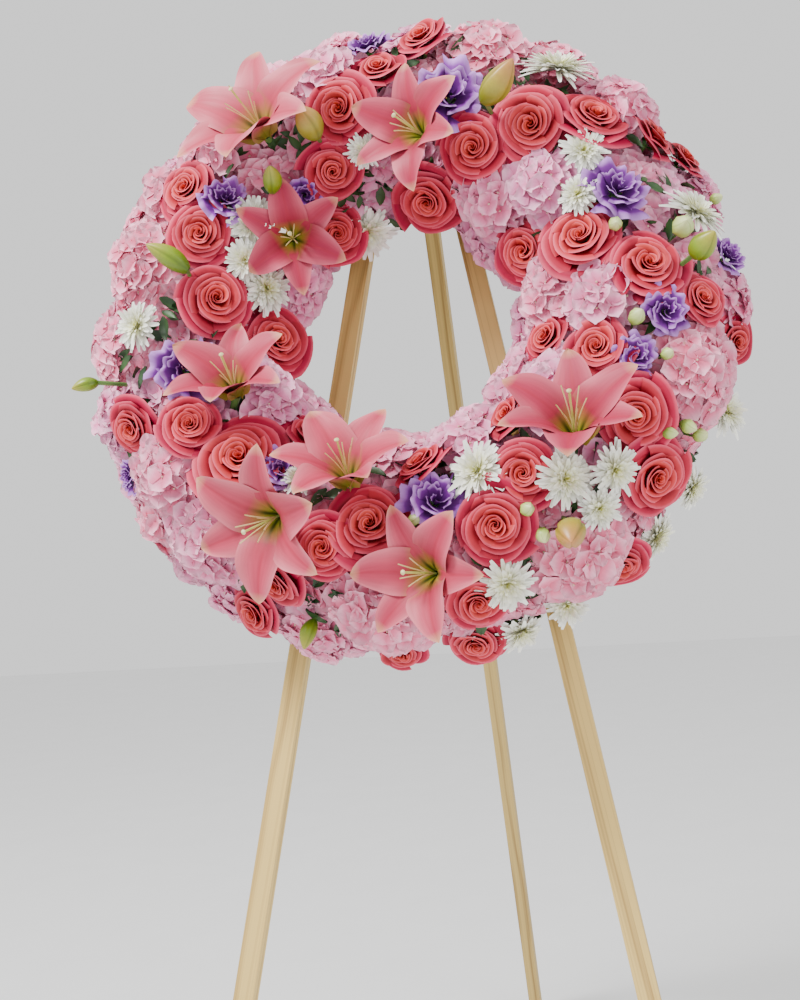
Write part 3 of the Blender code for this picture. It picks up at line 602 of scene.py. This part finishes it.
def makeMum(sheaf, bloom):
    radius = bloom["radius"]
    axes, lean = leaning(bloom, mum["tilt"])
    spider = radius > mum["spiderFrom"]
    most, fewer = mum["petals"]
    longest, shorter = mum["reach"]
    flat, steeper = mum["rise"]
    turned, stretched, raised = mum["uneven"]
    s, u = grids(mum["rows"], 3)
    for k in range(mum["rings"]):
        f = k / (mum["rings"] - 1)  # 0 outermost, 1 at the heart
        count = round((most - fewer * f) * (mum["spiderMore"] if spider else 1.0))
        for i in range(count):
            angle = (i + 0.5 * (k % 2)) * 2 * math.pi / count + rng.normal(0, turned)
            reach = (longest - shorter * f) * (1 + rng.normal(0, stretched))
            rise = math.radians(flat + steeper * f**1.2 + rng.normal(0, raised))
            width = mum["widths"][spider] * (1 - mum["narrower"] * f)
            out = reach * s * math.cos(rise)
            height = reach * s * math.sin(rise) - mum["droop"] * reach * s**2 * (1 - f) + 0.05
            spread = width * np.sin(math.pi * (0.1 + 0.78 * s**1.3)) ** 0.7
            cup = 0.5 * spread * u**2
            side = spread * u
            x = out * math.cos(angle) - side * math.sin(angle)
            y = out * math.sin(angle) + side * math.cos(angle)
            local = np.stack([x, y, height + cup], -1) * radius
            tone = toneGrid(mum["rows"], 3, rng.random(), 1 - f)
            sheaf.sheet(placed(local, bloom["place"], axes, lean), tone, "mum")
    v, w = grids(4, 5)
    for i in range(mum["heart"]):  # the tight florets of the middle
        r = 0.02 + 0.13 * math.sqrt((i + 0.5) / mum["heart"])
        angle = i * goldenTurn
        turn = w * math.pi
        tip = 0.028 * (1 - v**2)
        x = r * math.cos(angle) * (1 + 0.3 * v) + tip * np.cos(turn)
        y = r * math.sin(angle) * (1 + 0.3 * v) + tip * np.sin(turn)
        local = np.stack([x, y, 0.12 + 0.17 * v * (1.25 - r) + 0 * w], -1) * radius
        tone = toneGrid(4, 5, rng.random(), 0.0)
        sheaf.sheet(placed(local, bloom["place"], axes, lean), tone, "mumHeart")
    sepals(sheaf, bloom, axes, lean)


# Lilies

lily = {
    "rows": 20,
    "columns": 11,
    "waves": 0.05,
    "innerLift": 2.5 * mm,
    "flare": (66, 78),  # slope at the throat and how far it bends back, in degrees
    "cup": (72, 70),  # the same for those that look up
    "cupFrom": 0.51,
    "widths": (0.28, 0.85),  # of an inner petal, and an outer one's share of it
    "sink": 13 * mm,
    "filament": 0.55,
    "pistil": 0.66,
    "thickness": (0.65 * mm, 1.1 * mm),
    "stigma": (0.5 * mm, 2.0 * mm, 2.7 * mm, 2.6 * mm, 1.6 * mm, 0.1 * mm),
}


def makeLily(sheaf, bloom):
    length, turn, facing, blush = bloom["shape"]
    length *= mm
    axis = unit(np.array(facing))
    side = unit(np.cross(axis, [0.0, 1.0, 0.2]))
    other = np.cross(axis, side)
    base = bloom["centre"] + (ring["lilyLevel"] - lily["sink"]) * bloom["normal"]
    steep, bend = lily["cup"] if axis[1] > lily["cupFrom"] else lily["flare"]
    broad, outerShare = lily["widths"]
    thin, thick = lily["thickness"]
    t, u = grids(lily["rows"], lily["columns"])
    for k in (1, 3, 5, 0, 2, 4):
        inner = k % 2 == 0
        angle = math.radians(turn + 60 * k)
        way = math.cos(angle) * side + math.sin(angle) * other
        across = np.cross(axis, way)
        # The slope, summed step by step, gives the petal's curve out of the throat
        slope = np.radians(steep - (bend + rng.normal(0, 8)) * t**0.8)
        step = 1 / (lily["rows"] - 1)
        out = 0.03 + np.cumsum(np.cos(slope), 0) * step - np.cos(slope) * step
        rise = np.cumsum(np.sin(slope), 0) * step - np.sin(slope) * step
        width = broad * (1.0 if inner else outerShare) * (t + 0.08) ** 0.5 * (1.0001 - t) ** 0.76 * 2.15
        ripple = np.sin(10 * t + 3 * u + rng.uniform(0, 6.3))
        wave = lily["waves"] * u**2 * ripple * np.sqrt(t)
        crest = 0.22 * width * u**2 - 0.05 * width * np.exp(-((u / 0.16) ** 2)) + wave * width * 3
        sway = 0.05 * math.sin(k * 2.1) * t**2
        lift = (lily["innerLift"] if inner else 0.0) * np.minimum(1, 3 * t)
        points = (
            base
            + way * (out * length)[..., None]
            + across * ((u * width + sway) * length)[..., None]
            + axis * ((rise + crest) * length + lift)[..., None]
        )
        floor = ring["lilyLevel"] + 1 * mm - 1.2 * lily["sink"] * (1 - t) ** 3 + lift + u**2 * 1.5 * mm
        tone = toneGrid(lily["rows"], lily["columns"], 0.8 * blush + 0.2 * rng.random(), 1.0)
        sheaf.sheet(lifted(points, floor[..., None]), tone, "lily")
    steps = np.linspace(0, 1, 8)[:, None]
    for k in range(6):
        angle = math.radians(turn + 60 * k + 30)
        reach = length * lily["filament"] * (1 + 0.1 * rng.normal())
        lean = 0.3 * (math.cos(angle) * side + math.sin(angle) * other)
        path = base + axis * (steps * reach) + lean * (steps**1.6 * reach)
        tubeAlong(sheaf, path, np.full(len(steps), thin), "filament")
    path = base + axis * (steps * length * lily["pistil"])
    tubeAlong(sheaf, path, np.full(len(steps), thick), "pistil")
    blob = path[-1] + axis * (np.linspace(-2, 2, 6)[:, None] * mm)
    tubeAlong(sheaf, blob, np.array(lily["stigma"]), "stigma")
    stem(sheaf, bloom, base, "lily", "lilyFoot")


def tubeAlong(sheaf, path, radii, finish, sides=8):
    # A thin round body along a path, with a radius at each of its points
    ways = unit(np.gradient(path, axis=0))
    side = unit(np.cross(ways, [0.31, 0.52, 0.79]))
    other = np.cross(ways, side)
    turns = np.linspace(0, 2 * math.pi, sides + 1)
    loops = np.cos(turns)[None, :, None] * side[:, None] + np.sin(turns)[None, :, None] * other[:, None]
    points = path[:, None] + loops * radii[:, None, None]
    sheaf.sheet(points, toneGrid(len(path), sides + 1, rng.random(), 0.5), finish)


lilyBud = {
    "rows": 22, "columns": 31, "paleFrom": 25 * mm, "lowFrom": 60, "lowSink": 13 * mm,
    "groove": (0.16, 0.16),  # how deep and how wide
    "foothold": 0.35, "bend": 0.04,
}


def makeLilyBud(sheaf, bloom):
    # A closed bud of three broad petals, with their seams as grooves
    length, thickness, facing = bloom["shape"]
    length, thickness = length * mm, thickness * mm
    axis = unit(np.array(facing))
    side = unit(np.cross(axis, [0.3, 0.2, 0.9]))
    other = np.cross(axis, side)
    low = bloom["tube"] > lilyBud["lowFrom"]
    raised = ring["lilyLevel"] + lilyBud["foothold"] * thickness
    foothold = ring["flowerLevel"] - lilyBud["lowSink"] if low else raised
    base = bloom["centre"] + foothold * bloom["normal"]
    v, u = grids(lilyBud["rows"], lilyBud["columns"])
    turn = u * math.pi
    body = np.sin(math.pi * np.clip(0.06 + 0.94 * v, 0, 1) ** 0.85) ** 0.75
    deep, wide = lilyBud["groove"]
    seam = np.exp(-((np.sin(1.5 * turn) / wide) ** 2))
    groove = 1 - deep * seam + 0.04 * np.cos(3 * turn)
    reach = 0.5 * thickness * (body * groove + 0.02)
    bend = lilyBud["bend"] * length * np.sin(v * math.pi)
    points = (
        base
        + axis * ((v * 1.02 - 0.04) * length)[..., None]
        + side * (reach * np.cos(turn) + bend)[..., None]
        + other * (reach * np.sin(turn))[..., None]
    )
    points = points if low else lifted(points, ring["flowerLevel"])
    tone = toneGrid(lilyBud["rows"], lilyBud["columns"], rng.random(), 0.5)
    sheaf.sheet(points, tone, "budPale" if thickness > lilyBud["paleFrom"] else "budGreen")
    stem(sheaf, bloom, base, "lilyBud", "lilyFoot")


# Hydrangea


def floretShape():
    # One floret of rounded petals, in units of its radius
    sheets = []
    t, u = grids(*hydrangea["grid"])
    for k in range(hydrangea["petals"]):
        angle = k * 2 * math.pi / hydrangea["petals"] + rng.normal(0, 0.1)
        size = 1 + rng.normal(0, 0.08)
        width = 0.66 * np.sin(math.pi * np.clip(t, 0, 0.97) ** 0.78) ** 0.6 * size
        notch = 1 - 0.1 * np.abs(u) ** 2 * t
        out = (0.05 + 0.95 * t * notch) * size
        side = u * width
        height = 0.1 * t**2 + 0.12 * u**2 * t + 0.05 * np.sin(3.2 * u + 4 * t + rng.uniform(0, 6.3)) * t
        height += 0.05 * (k % 2)
        x = out * math.cos(angle) - side * math.sin(angle)
        y = out * math.sin(angle) + side * math.cos(angle)
        sheets.append(np.stack([x, y, height], -1))
    return sheets


def makeFlorets(sheaves, heads, trees):
    # Florets cover all that no other bloom does, each in the solid of its nearest head
    blooms = [h for h in heads if h["kind"] != "hydrangea"]
    centres = [h for h in heads if h["kind"] == "hydrangea"]
    owners = [ownerOf(trees, h["place"]) for h in centres]
    bloomPlaces = np.array([h["place"] for h in blooms])
    bloomSizes = np.array([h["claim"] for h in blooms])
    centrePlaces = np.array([h["place"] for h in centres])
    centreSizes = np.array([h["radius"] for h in centres])
    shapes = [floretShape() for _ in range(hydrangea["shapes"])]
    level = ring["flowerLevel"]
    step = hydrangea["spacing"] / level
    jitter = hydrangea["jitter"]
    crown, fall, end = hydrangea["dome"]
    near, fade, lower = hydrangea["edge"]
    inner, flank, deeper = hydrangea["under"]
    forward = np.array([0.0, 0.0, hydrangea["forward"]])
    first, last = hydrangea["rows"]
    eyeMiddle, eyeBelow, eyeAbove = hydrangea["eyeLevels"]
    count, covered = 0, 0
    for row in range(int(math.radians(last - first) / step)):
        tube = math.radians(first) + row * step
        around = 2 * math.pi * (ring["radius"] + level * math.sin(tube))
        turns = max(1, int(around / hydrangea["spacing"]))
        for i in range(turns):
            clock = 360 * (i + 0.5 * (row % 2) + rng.normal(0, jitter)) / turns
            spot = math.degrees(tube + rng.normal(0, jitter) * step)
            centre, normal, _, outward = ringPlace(clock, spot)
            place = centre + level * normal
            gap = (np.linalg.norm(bloomPlaces - place, axis=1) / bloomSizes).min()
            tucked = gap < hydrangea["keepOut"]
            if tucked and (gap < inner or math.degrees(tube) < flank):
                covered += 1
                continue
            reach = np.linalg.norm(centrePlaces - place, axis=1) / centreSizes
            nearest = int(reach.argmin())
            fullest = math.cos(math.radians(clock - hydrangea["swellClock"])) * max(0, math.sin(tube))
            dome = crown - fall * min(end, reach[nearest]) ** 2 + hydrangea["swell"] * fullest
            if tucked:
                dome -= deeper
            elif gap < near:
                dome -= lower * (near - gap) / fade
            floor = centre + (level + dome + rng.normal(0, hydrangea["uneven"])) * normal
            if floor[2] < ring["backLimit"] + hydrangea["back"]:
                continue
            spread = hydrangea["open"] * unit(place - centrePlaces[nearest]) * min(1, reach[nearest])
            lean = unit(normal + spread + rng.normal(0, hydrangea["lean"], 3) + forward)
            axes, lean = tiltedAxes(lean, unit(np.cross(lean, outward)), (0, 0), rng.uniform(0, 6.3))
            size = hydrangea["floret"] * rng.uniform(*hydrangea["sizes"])
            chance = rng.random()
            layer = 0.5 + 0.5 * math.sin(nearest * 2.4)
            sheaf = sheaves[owners[nearest]]
            for sheet in shapes[rng.integers(len(shapes))]:
                points = placed(sheet * size, floor, axes, lean)
                sheaf.sheet(points, toneGrid(*hydrangea["grid"], chance, layer), "hydrangea")
            middle = floor + lean * eyeMiddle
            dot = np.array([middle - lean * eyeBelow, middle, middle + lean * eyeAbove])
            tubeAlong(sheaf, dot, np.array(hydrangea["eye"]), "floretEye", 5)
            count += 1
    print("hydrangea florets:", count, "covered spots:", covered)


greens = {
    "under": {"count": 900, "tubes": (-112, 112), "levels": (86 * mm, 102 * mm), "room": 8 * mm},
    "collar": {"count": 760, "tubes": (92, 126), "levels": (52 * mm, 92 * mm), "room": 20 * mm},
    "collarInside": 3,  # one leaf in so many of the collar stands in the ring's hole
    "length": 26 * mm,
    "sizes": (0.7, 1.2),
    "lean": 0.35,
    "grid": (5, 3),
}


def makeGreens(sheaf):
    # Dark leaves that fill the gaps under the blooms, and a collar of them round the foam's sides
    t, u = grids(*greens["grid"])
    width = 0.21 * np.sin(math.pi * (0.02 + 0.96 * t) ** 0.8) ** 0.9
    bend = 0.1 * u**2 - 0.12 * (t - 0.5) ** 2
    leaf = np.stack([t - 0.5, u * width, bend], -1) * greens["length"]
    for part in (greens["under"], greens["collar"]):
        for i in range(part["count"]):
            clock, tube = 360 * rng.random(), rng.uniform(*part["tubes"])
            if part is greens["collar"] and i % greens["collarInside"] == 0:
                tube = -tube
            centre, normal, _, outward = ringPlace(clock, tube)
            place = centre + rng.uniform(*part["levels"]) * normal
            if place[2] < ring["backLimit"] + part["room"]:
                continue
            lean = unit(normal + rng.normal(0, greens["lean"], 3))
            axes, lean = tiltedAxes(lean, unit(np.cross(lean, outward)), (0, 0), rng.uniform(0, 6.3))
            local = leaf * rng.uniform(*greens["sizes"])
            tone = toneGrid(*greens["grid"], rng.random(), rng.random())
            sheaf.sheet(placed(local, place, axes, lean), tone, "leaf")


# Finishes


def paint(*parts):
    # A colour as it looks on a screen, made linear
    return tuple(part / 12.92 if part < 0.04045 else ((part + 0.055) / 1.055) ** 2.4 for part in parts)


woodGrain = {
    "light": paint(0.88, 0.75, 0.44), "dark": paint(0.5, 0.33, 0.13),
    # rearLegShade darkens the rear leg's pine as painted shade, because that leg stands in shade behind
    # the wreath
    "rings": 90.0, "bump": 0.2, "rearLegShade": 0.78,
}


def pineFinish(name, alongAxis, tone):
    # Straight pine grain that runs along the piece, with darker late wood and a few flecks; tone scales
    # both colours, and below 1 it paints shade onto the wood
    made = Finish(name)
    spot = made.node("ShaderNodeTexCoord").outputs["Object"]
    sideways = made.node("ShaderNodeVectorMath", {"operation": "CROSS_PRODUCT"})
    made.feed(sideways.inputs[0], spot)
    sideways.inputs[1].default_value = alongAxis
    wobble = made.noise(3.0, 2.0, vector=spot)
    fine = made.noise(420.0, 3.0, vector=sideways.outputs[0])
    parts = made.node("ShaderNodeSeparateXYZ", None, Vector=sideways.outputs[0])
    x, y, z = (made.value(out) for out in parts.outputs)
    bands = (x + y * 0.6 + z * 0.8 + wobble * 0.02) * woodGrain["rings"] * 6.28
    lines = bands.shaped("SINE") * 0.5 + 0.5
    late = lines**3 * 0.45 + (fine - 0.5) * 1.3 + (wobble - 0.5) * 0.4
    # A tone below 1 is painted shade: the same pine made darker
    light, dark = (tuple(tone * part for part in woodGrain[key]) for key in ("light", "dark"))
    colour = made.mix(late.clipped(), light, dark)
    return made.finish(colour, 0.58 + (fine - 0.5) * 0.2, late, woodGrain["bump"], 0.0006)


def lilyFinish():
    made = Finish("lilyPetal")
    along, across, chance, _ = made.tones()
    off = (across - 0.5).shaped("ABSOLUTE") * 2
    spot = made.node("ShaderNodeCombineXYZ", None, X=across * 16, Y=along * 3, Z=chance * 30)
    veins = made.noise(1.0, 2.0, vector=spot.outputs[0])
    middle = made.mix(chance, paint(0.81, 0.3, 0.39), paint(0.66, 0.15, 0.28))
    margin = made.mix(chance, paint(0.89, 0.5, 0.55), paint(0.82, 0.38, 0.46))
    base = made.mix((off**2).between(0.05, 0.95), middle, margin)
    rib = (1 - off.between(0.0, 0.16)) * along.between(0.12, 0.5) * 0.5
    base = made.mix(rib, base, paint(0.68, 0.14, 0.24))
    tip = along.between(0.86, 1.0)
    base = made.mix(tip * 0.6, base, paint(0.92, 0.76, 0.56))
    flush = (1 - along.between(0.2, 0.55)) * (0.2 + chance * 0.6)
    base = made.mix(flush, base, paint(0.56, 0.06, 0.14))
    throat = (1 - along.between(0.08, 0.34)) * (1 - off * 0.4)
    base = made.mix(throat.clipped() * 0.9, base, paint(0.6, 0.66, 0.16))
    nectary = (1 - off.between(0.03, 0.16)) * (1 - along.between(0.14, 0.38))
    base = made.mix(nectary * 0.9, base, paint(0.12, 0.2, 0.03))
    base = made.shaded(base, 0.96 + (veins - 0.5) * 0.28)
    return made.finish(base, 0.5, veins, 0.4, 0.0006, Specular_IOR_Level=0.25)


def budFinish(name, foot, middle, tip, seam):
    made = Finish(name)
    along, across, _, _ = made.tones()
    stops = [(0.0, foot), (1.0, tip), (0.5, middle)]
    ramp = made.node("ShaderNodeValToRGB", {"stops": stops}, Fac=along)
    turn = across * 3 * math.pi
    edge = 1 - turn.shaped("COSINE").shaped("ABSOLUTE").between(0.0, 0.3)
    base = made.mix(edge * 0.45, ramp.outputs[0], seam)
    streak = made.noise(260.0, 3.0)
    base = made.shaded(base, 0.94 + (streak - 0.5) * 0.25)
    return made.finish(base, 0.38, streak, 0.2, 0.0004)


def plainFinish(name, first, second, scale, roughness, bump=0.3, depth=0.0005, **constants):
    made = Finish(name)
    grain = made.noise(scale, 4.0)
    colour = made.mix(grain.between(0.3, 0.7), first, second)
    return made.finish(colour, roughness, grain, bump, depth, **constants)


# Each petal finish takes heart, body, rim, rim share, the painted shade at the petal's foot (low, high,
# strength), and vein scale
finishes = {
    "rose": petalFinish(
        "rosePetal", paint(0.95, 0.36, 0.3), paint(0.72, 0.045, 0.27), paint(0.92, 0.38, 0.48),
        0.11, (0.42, 0.96, 0.95), 9.0
    ),
    "lisianthus": petalFinish(
        "lisianthusPetal", paint(0.42, 0.1, 0.5), paint(0.58, 0.27, 0.68), paint(0.8, 0.6, 0.88),
        0.32, (0.2, 0.85, 0.7), 10.0
    ),
    "hydrangea": petalFinish(
        "hydrangeaPetal", paint(0.92, 0.6, 0.77), paint(0.96, 0.55, 0.67), paint(0.98, 0.77, 0.84),
        0.6, (0.0, 0.7, 0.65), 7.0
    ),
    "mum": petalFinish(
        "chrysanthemumPetal", paint(0.92, 0.92, 0.58), paint(0.97, 0.97, 0.92), paint(0.99, 0.99, 0.97),
        0.5, (0.0, 0.6, 0.5), 5.0
    ),
    "mumHeart": plainFinish(
        "chrysanthemumHeart", paint(0.8, 0.8, 0.42), paint(0.92, 0.9, 0.62), 300.0, 0.6
    ),
    "lily": lilyFinish(),
    "pistil": plainFinish("lilyPistil", paint(0.72, 0.78, 0.36), paint(0.82, 0.85, 0.5), 90.0, 0.4),
    "filament": plainFinish("lilyFilament", paint(0.84, 0.82, 0.5), paint(0.9, 0.76, 0.6), 90.0, 0.4),
    "stigma": plainFinish("lilyStigma", paint(0.93, 0.9, 0.7), paint(0.8, 0.78, 0.5), 200.0, 0.35),
    "bud": budFinish(
        "lisianthusBud", paint(0.4, 0.55, 0.1), paint(0.72, 0.82, 0.4), paint(0.88, 0.9, 0.66),
        paint(0.5, 0.62, 0.2)
    ),
    "budGreen": budFinish(
        "greenLilyBud", paint(0.3, 0.44, 0.03), paint(0.5, 0.6, 0.08), paint(0.68, 0.64, 0.24),
        paint(0.28, 0.38, 0.04)
    ),
    "budPale": budFinish(
        "paleLilyBud", paint(0.42, 0.48, 0.06), paint(0.66, 0.6, 0.18), paint(0.78, 0.52, 0.3),
        paint(0.36, 0.36, 0.05)
    ),
    "floretEye": plainFinish("floretEye", paint(0.9, 0.84, 0.7), paint(0.86, 0.7, 0.7), 300.0, 0.6),
    "leaf": plainFinish("leafGreen", paint(0.1, 0.2, 0.1), paint(0.22, 0.36, 0.16), 45.0, 0.5),
    "stem": plainFinish("stemGreen", paint(0.3, 0.45, 0.2), paint(0.42, 0.56, 0.28), 60.0, 0.55),
}


# Making the flowers

# Each kind of head: the solids that it goes to, and the function that makes it
makers = {
    "rose": ("roses", makeRose),
    "mum": ("chrysanthemums", makeMum),
    "lisianthus": ("lisianthus", makeLisianthus),
    "smallBud": ("lisianthus", makeSmallBud),
    "lily": ("lilies", makeLily),
    "lilyBud": ("lilies", makeLilyBud),
}
# Each kind of solid: its slot, and the finishes of the piece that replaces it
pieces = {
    "roses": ("rose_coral", ["rose", "leaf", "stem"]),
    "chrysanthemums": ("mum_white", ["mum", "mumHeart", "leaf", "stem"]),
    "lisianthus": ("lisianthus_purple", ["lisianthus", "bud", "leaf", "stem"]),
    "lilies": (
        "lily_pink",
        ["lily", "pistil", "filament", "stigma", "budGreen", "budPale", "stem"],
    ),
    "hydrangea": ("hydrangea_pink", ["hydrangea", "floretEye"]),
}


def makeFlowers():
    heads = addHydrangea(allHeads())
    trees = {prefix: nodeOwners(prefix) for prefix in pieces}
    sheaves = {
        name: Sheaf(name + "Petals", pieces[prefix][1])
        for prefix, owners in trees.items()
        for name in owners
    }
    for bloom in heads:
        if bloom["kind"] in makers:
            prefix, maker = makers[bloom["kind"]]
            maker(sheaves[ownerOf(trees[prefix], bloom["place"])], bloom)
    print("blooms made:", len(heads))
    makeFlorets(sheaves, heads, trees["hydrangea"])
    for name, sheaf in sheaves.items():
        piece = sheaf.build()
        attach(piece, "easel")
        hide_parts(name)
    under = Sheaf("underLeaves", ["leaf"])
    makeGreens(under)
    piece = under.build()
    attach(piece, "easel")
    print("sheets of leaves:", len(under.faces))


# The easel, the tray, the foam and the ties keep their solids and get finishes


def dressFrame():
    low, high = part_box("front_leg_left")
    spread = (high[0] - low[0]) / (high[2] - low[2])
    # The way in which the grain of each piece of pine runs
    pines = {
        "front_leg_left": (spread, math.tan(ring["lean"]), 1.0),
        "front_leg_right": (-spread, math.tan(ring["lean"]), 1.0),
        "rear_leg": (0.0, -math.tan(ring["rearLean"]), 1.0),
        "cross_bar": (1.0, 0.0, 0.0),
        "head_block": (1.0, 0.0, 0.0),
    }
    for name, way in pines.items():
        way = tuple(unit(np.array(way)))
        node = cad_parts[name]
        node.data.materials.clear()
        # The rear leg gets the same pine made darker, as painted shade
        tone = woodGrain["rearLegShade"] if name == "rear_leg" else 1.0
        node.data.materials.append(pineFinish("pine_" + name, way, tone))
    plain = {
        "ring_tray": plainFinish(
            "trayPlastic", (0.03, 0.09, 0.05), (0.05, 0.13, 0.07), 30.0, 0.45, 0.15
        ),
        "foam_ring": plainFinish(
            "soakedFoam", (0.05, 0.16, 0.06), (0.1, 0.26, 0.11), 500.0, 0.9, 0.5, 0.001
        ),
        "hinge_pin": plainFinish(
            "pinSteel", (0.5, 0.5, 0.5), (0.6, 0.6, 0.6), 200.0, 0.35, 0.1, Metallic=1.0
        ),
    }
    tie = plainFinish("tieCoating", (0.03, 0.03, 0.03), (0.06, 0.06, 0.06), 300.0, 0.5, 0.2)
    plain.update({"tie_top": tie, "tie_left": tie, "tie_right": tie})
    for name, finish in plain.items():
        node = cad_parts[name]
        node.data.materials.clear()
        node.data.materials.append(finish)


# Camera, light and floor

studio = {
    "camera": (0.263, -1.337, -0.215),  # from the ring's centre
    "yaw": math.radians(-12.0),
    "pitch": math.radians(1.3),
    "roll": math.radians(-4.2),
    "focal": 1230,
    "imageHeight": 1000,
    "filmHeight": 36,
    "daylight": 1.1,
    # Lights: place, size, power
    "lights": {"key": ((-1.3, -1.5, 3.1), 1.0, 130), "fill": ((2.2, -1.9, 1.6), 1.4, 16)},
    "floorHalf": 6,
}


def makeCamera():
    yaw, pitch, roll = studio["yaw"], studio["pitch"], studio["roll"]
    ahead = Vector((math.sin(yaw) * math.cos(pitch), math.cos(yaw) * math.cos(pitch), math.sin(pitch)))
    right = Vector((math.cos(yaw), -math.sin(yaw), 0))
    above = right.cross(ahead)
    side = math.cos(roll) * right + math.sin(roll) * above
    top = math.cos(roll) * above - math.sin(roll) * right
    camera = bpy.data.cameras.new("camera")
    camera.sensor_fit, camera.sensor_height = "VERTICAL", studio["filmHeight"]
    camera.lens = studio["filmHeight"] * studio["focal"] / studio["imageHeight"]
    made = bpy.data.objects.new("camera", camera)
    bpy.context.scene.collection.objects.link(made)
    turn = Matrix((side, top, -ahead)).transposed().to_4x4()
    made.matrix_world = Matrix.Translation(Vector(ringCentre) + Vector(studio["camera"])) @ turn
    bpy.context.scene.camera = made


def areaLight(name, place, target, size, power):
    light = bpy.data.lights.new(name, "AREA")
    light.shape, light.size, light.energy = "DISK", size, power
    made = bpy.data.objects.new(name, light)
    bpy.context.scene.collection.objects.link(made)
    made.location = place
    made.rotation_euler = (Vector(target) - Vector(place)).to_track_quat("-Z", "Y").to_euler()


def makeStudio():
    world = bpy.data.worlds.new("studio")
    bpy.context.scene.world = world
    world.use_nodes = True
    sky = world.node_tree.nodes["Background"].inputs
    sky["Color"].default_value = (1, 1, 1, 1)
    sky["Strength"].default_value = studio["daylight"]
    for name, (place, size, power) in studio["lights"].items():
        areaLight(name, place, tuple(ringCentre), size, power)
    mesh = bpy.data.meshes.new("floor")
    far = studio["floorHalf"]
    corners = [(-far, -far, 0), (far, -far, 0), (far, far, 0), (-far, far, 0)]
    mesh.from_pydata(corners, [], [(0, 1, 2, 3)])
    floor = bpy.data.objects.new("floor", mesh)
    bpy.context.scene.collection.objects.link(floor)
    pale, paler = (0.86, 0.86, 0.86), (0.88, 0.88, 0.88)
    mesh.materials.append(plainFinish("floorPaint", pale, paler, 8.0, 0.7, 0.05))


makeCamera()
makeStudio()
print("studio ready")
dressFrame()
print("easel finished")
makeFlowers()
print("flowers finished")
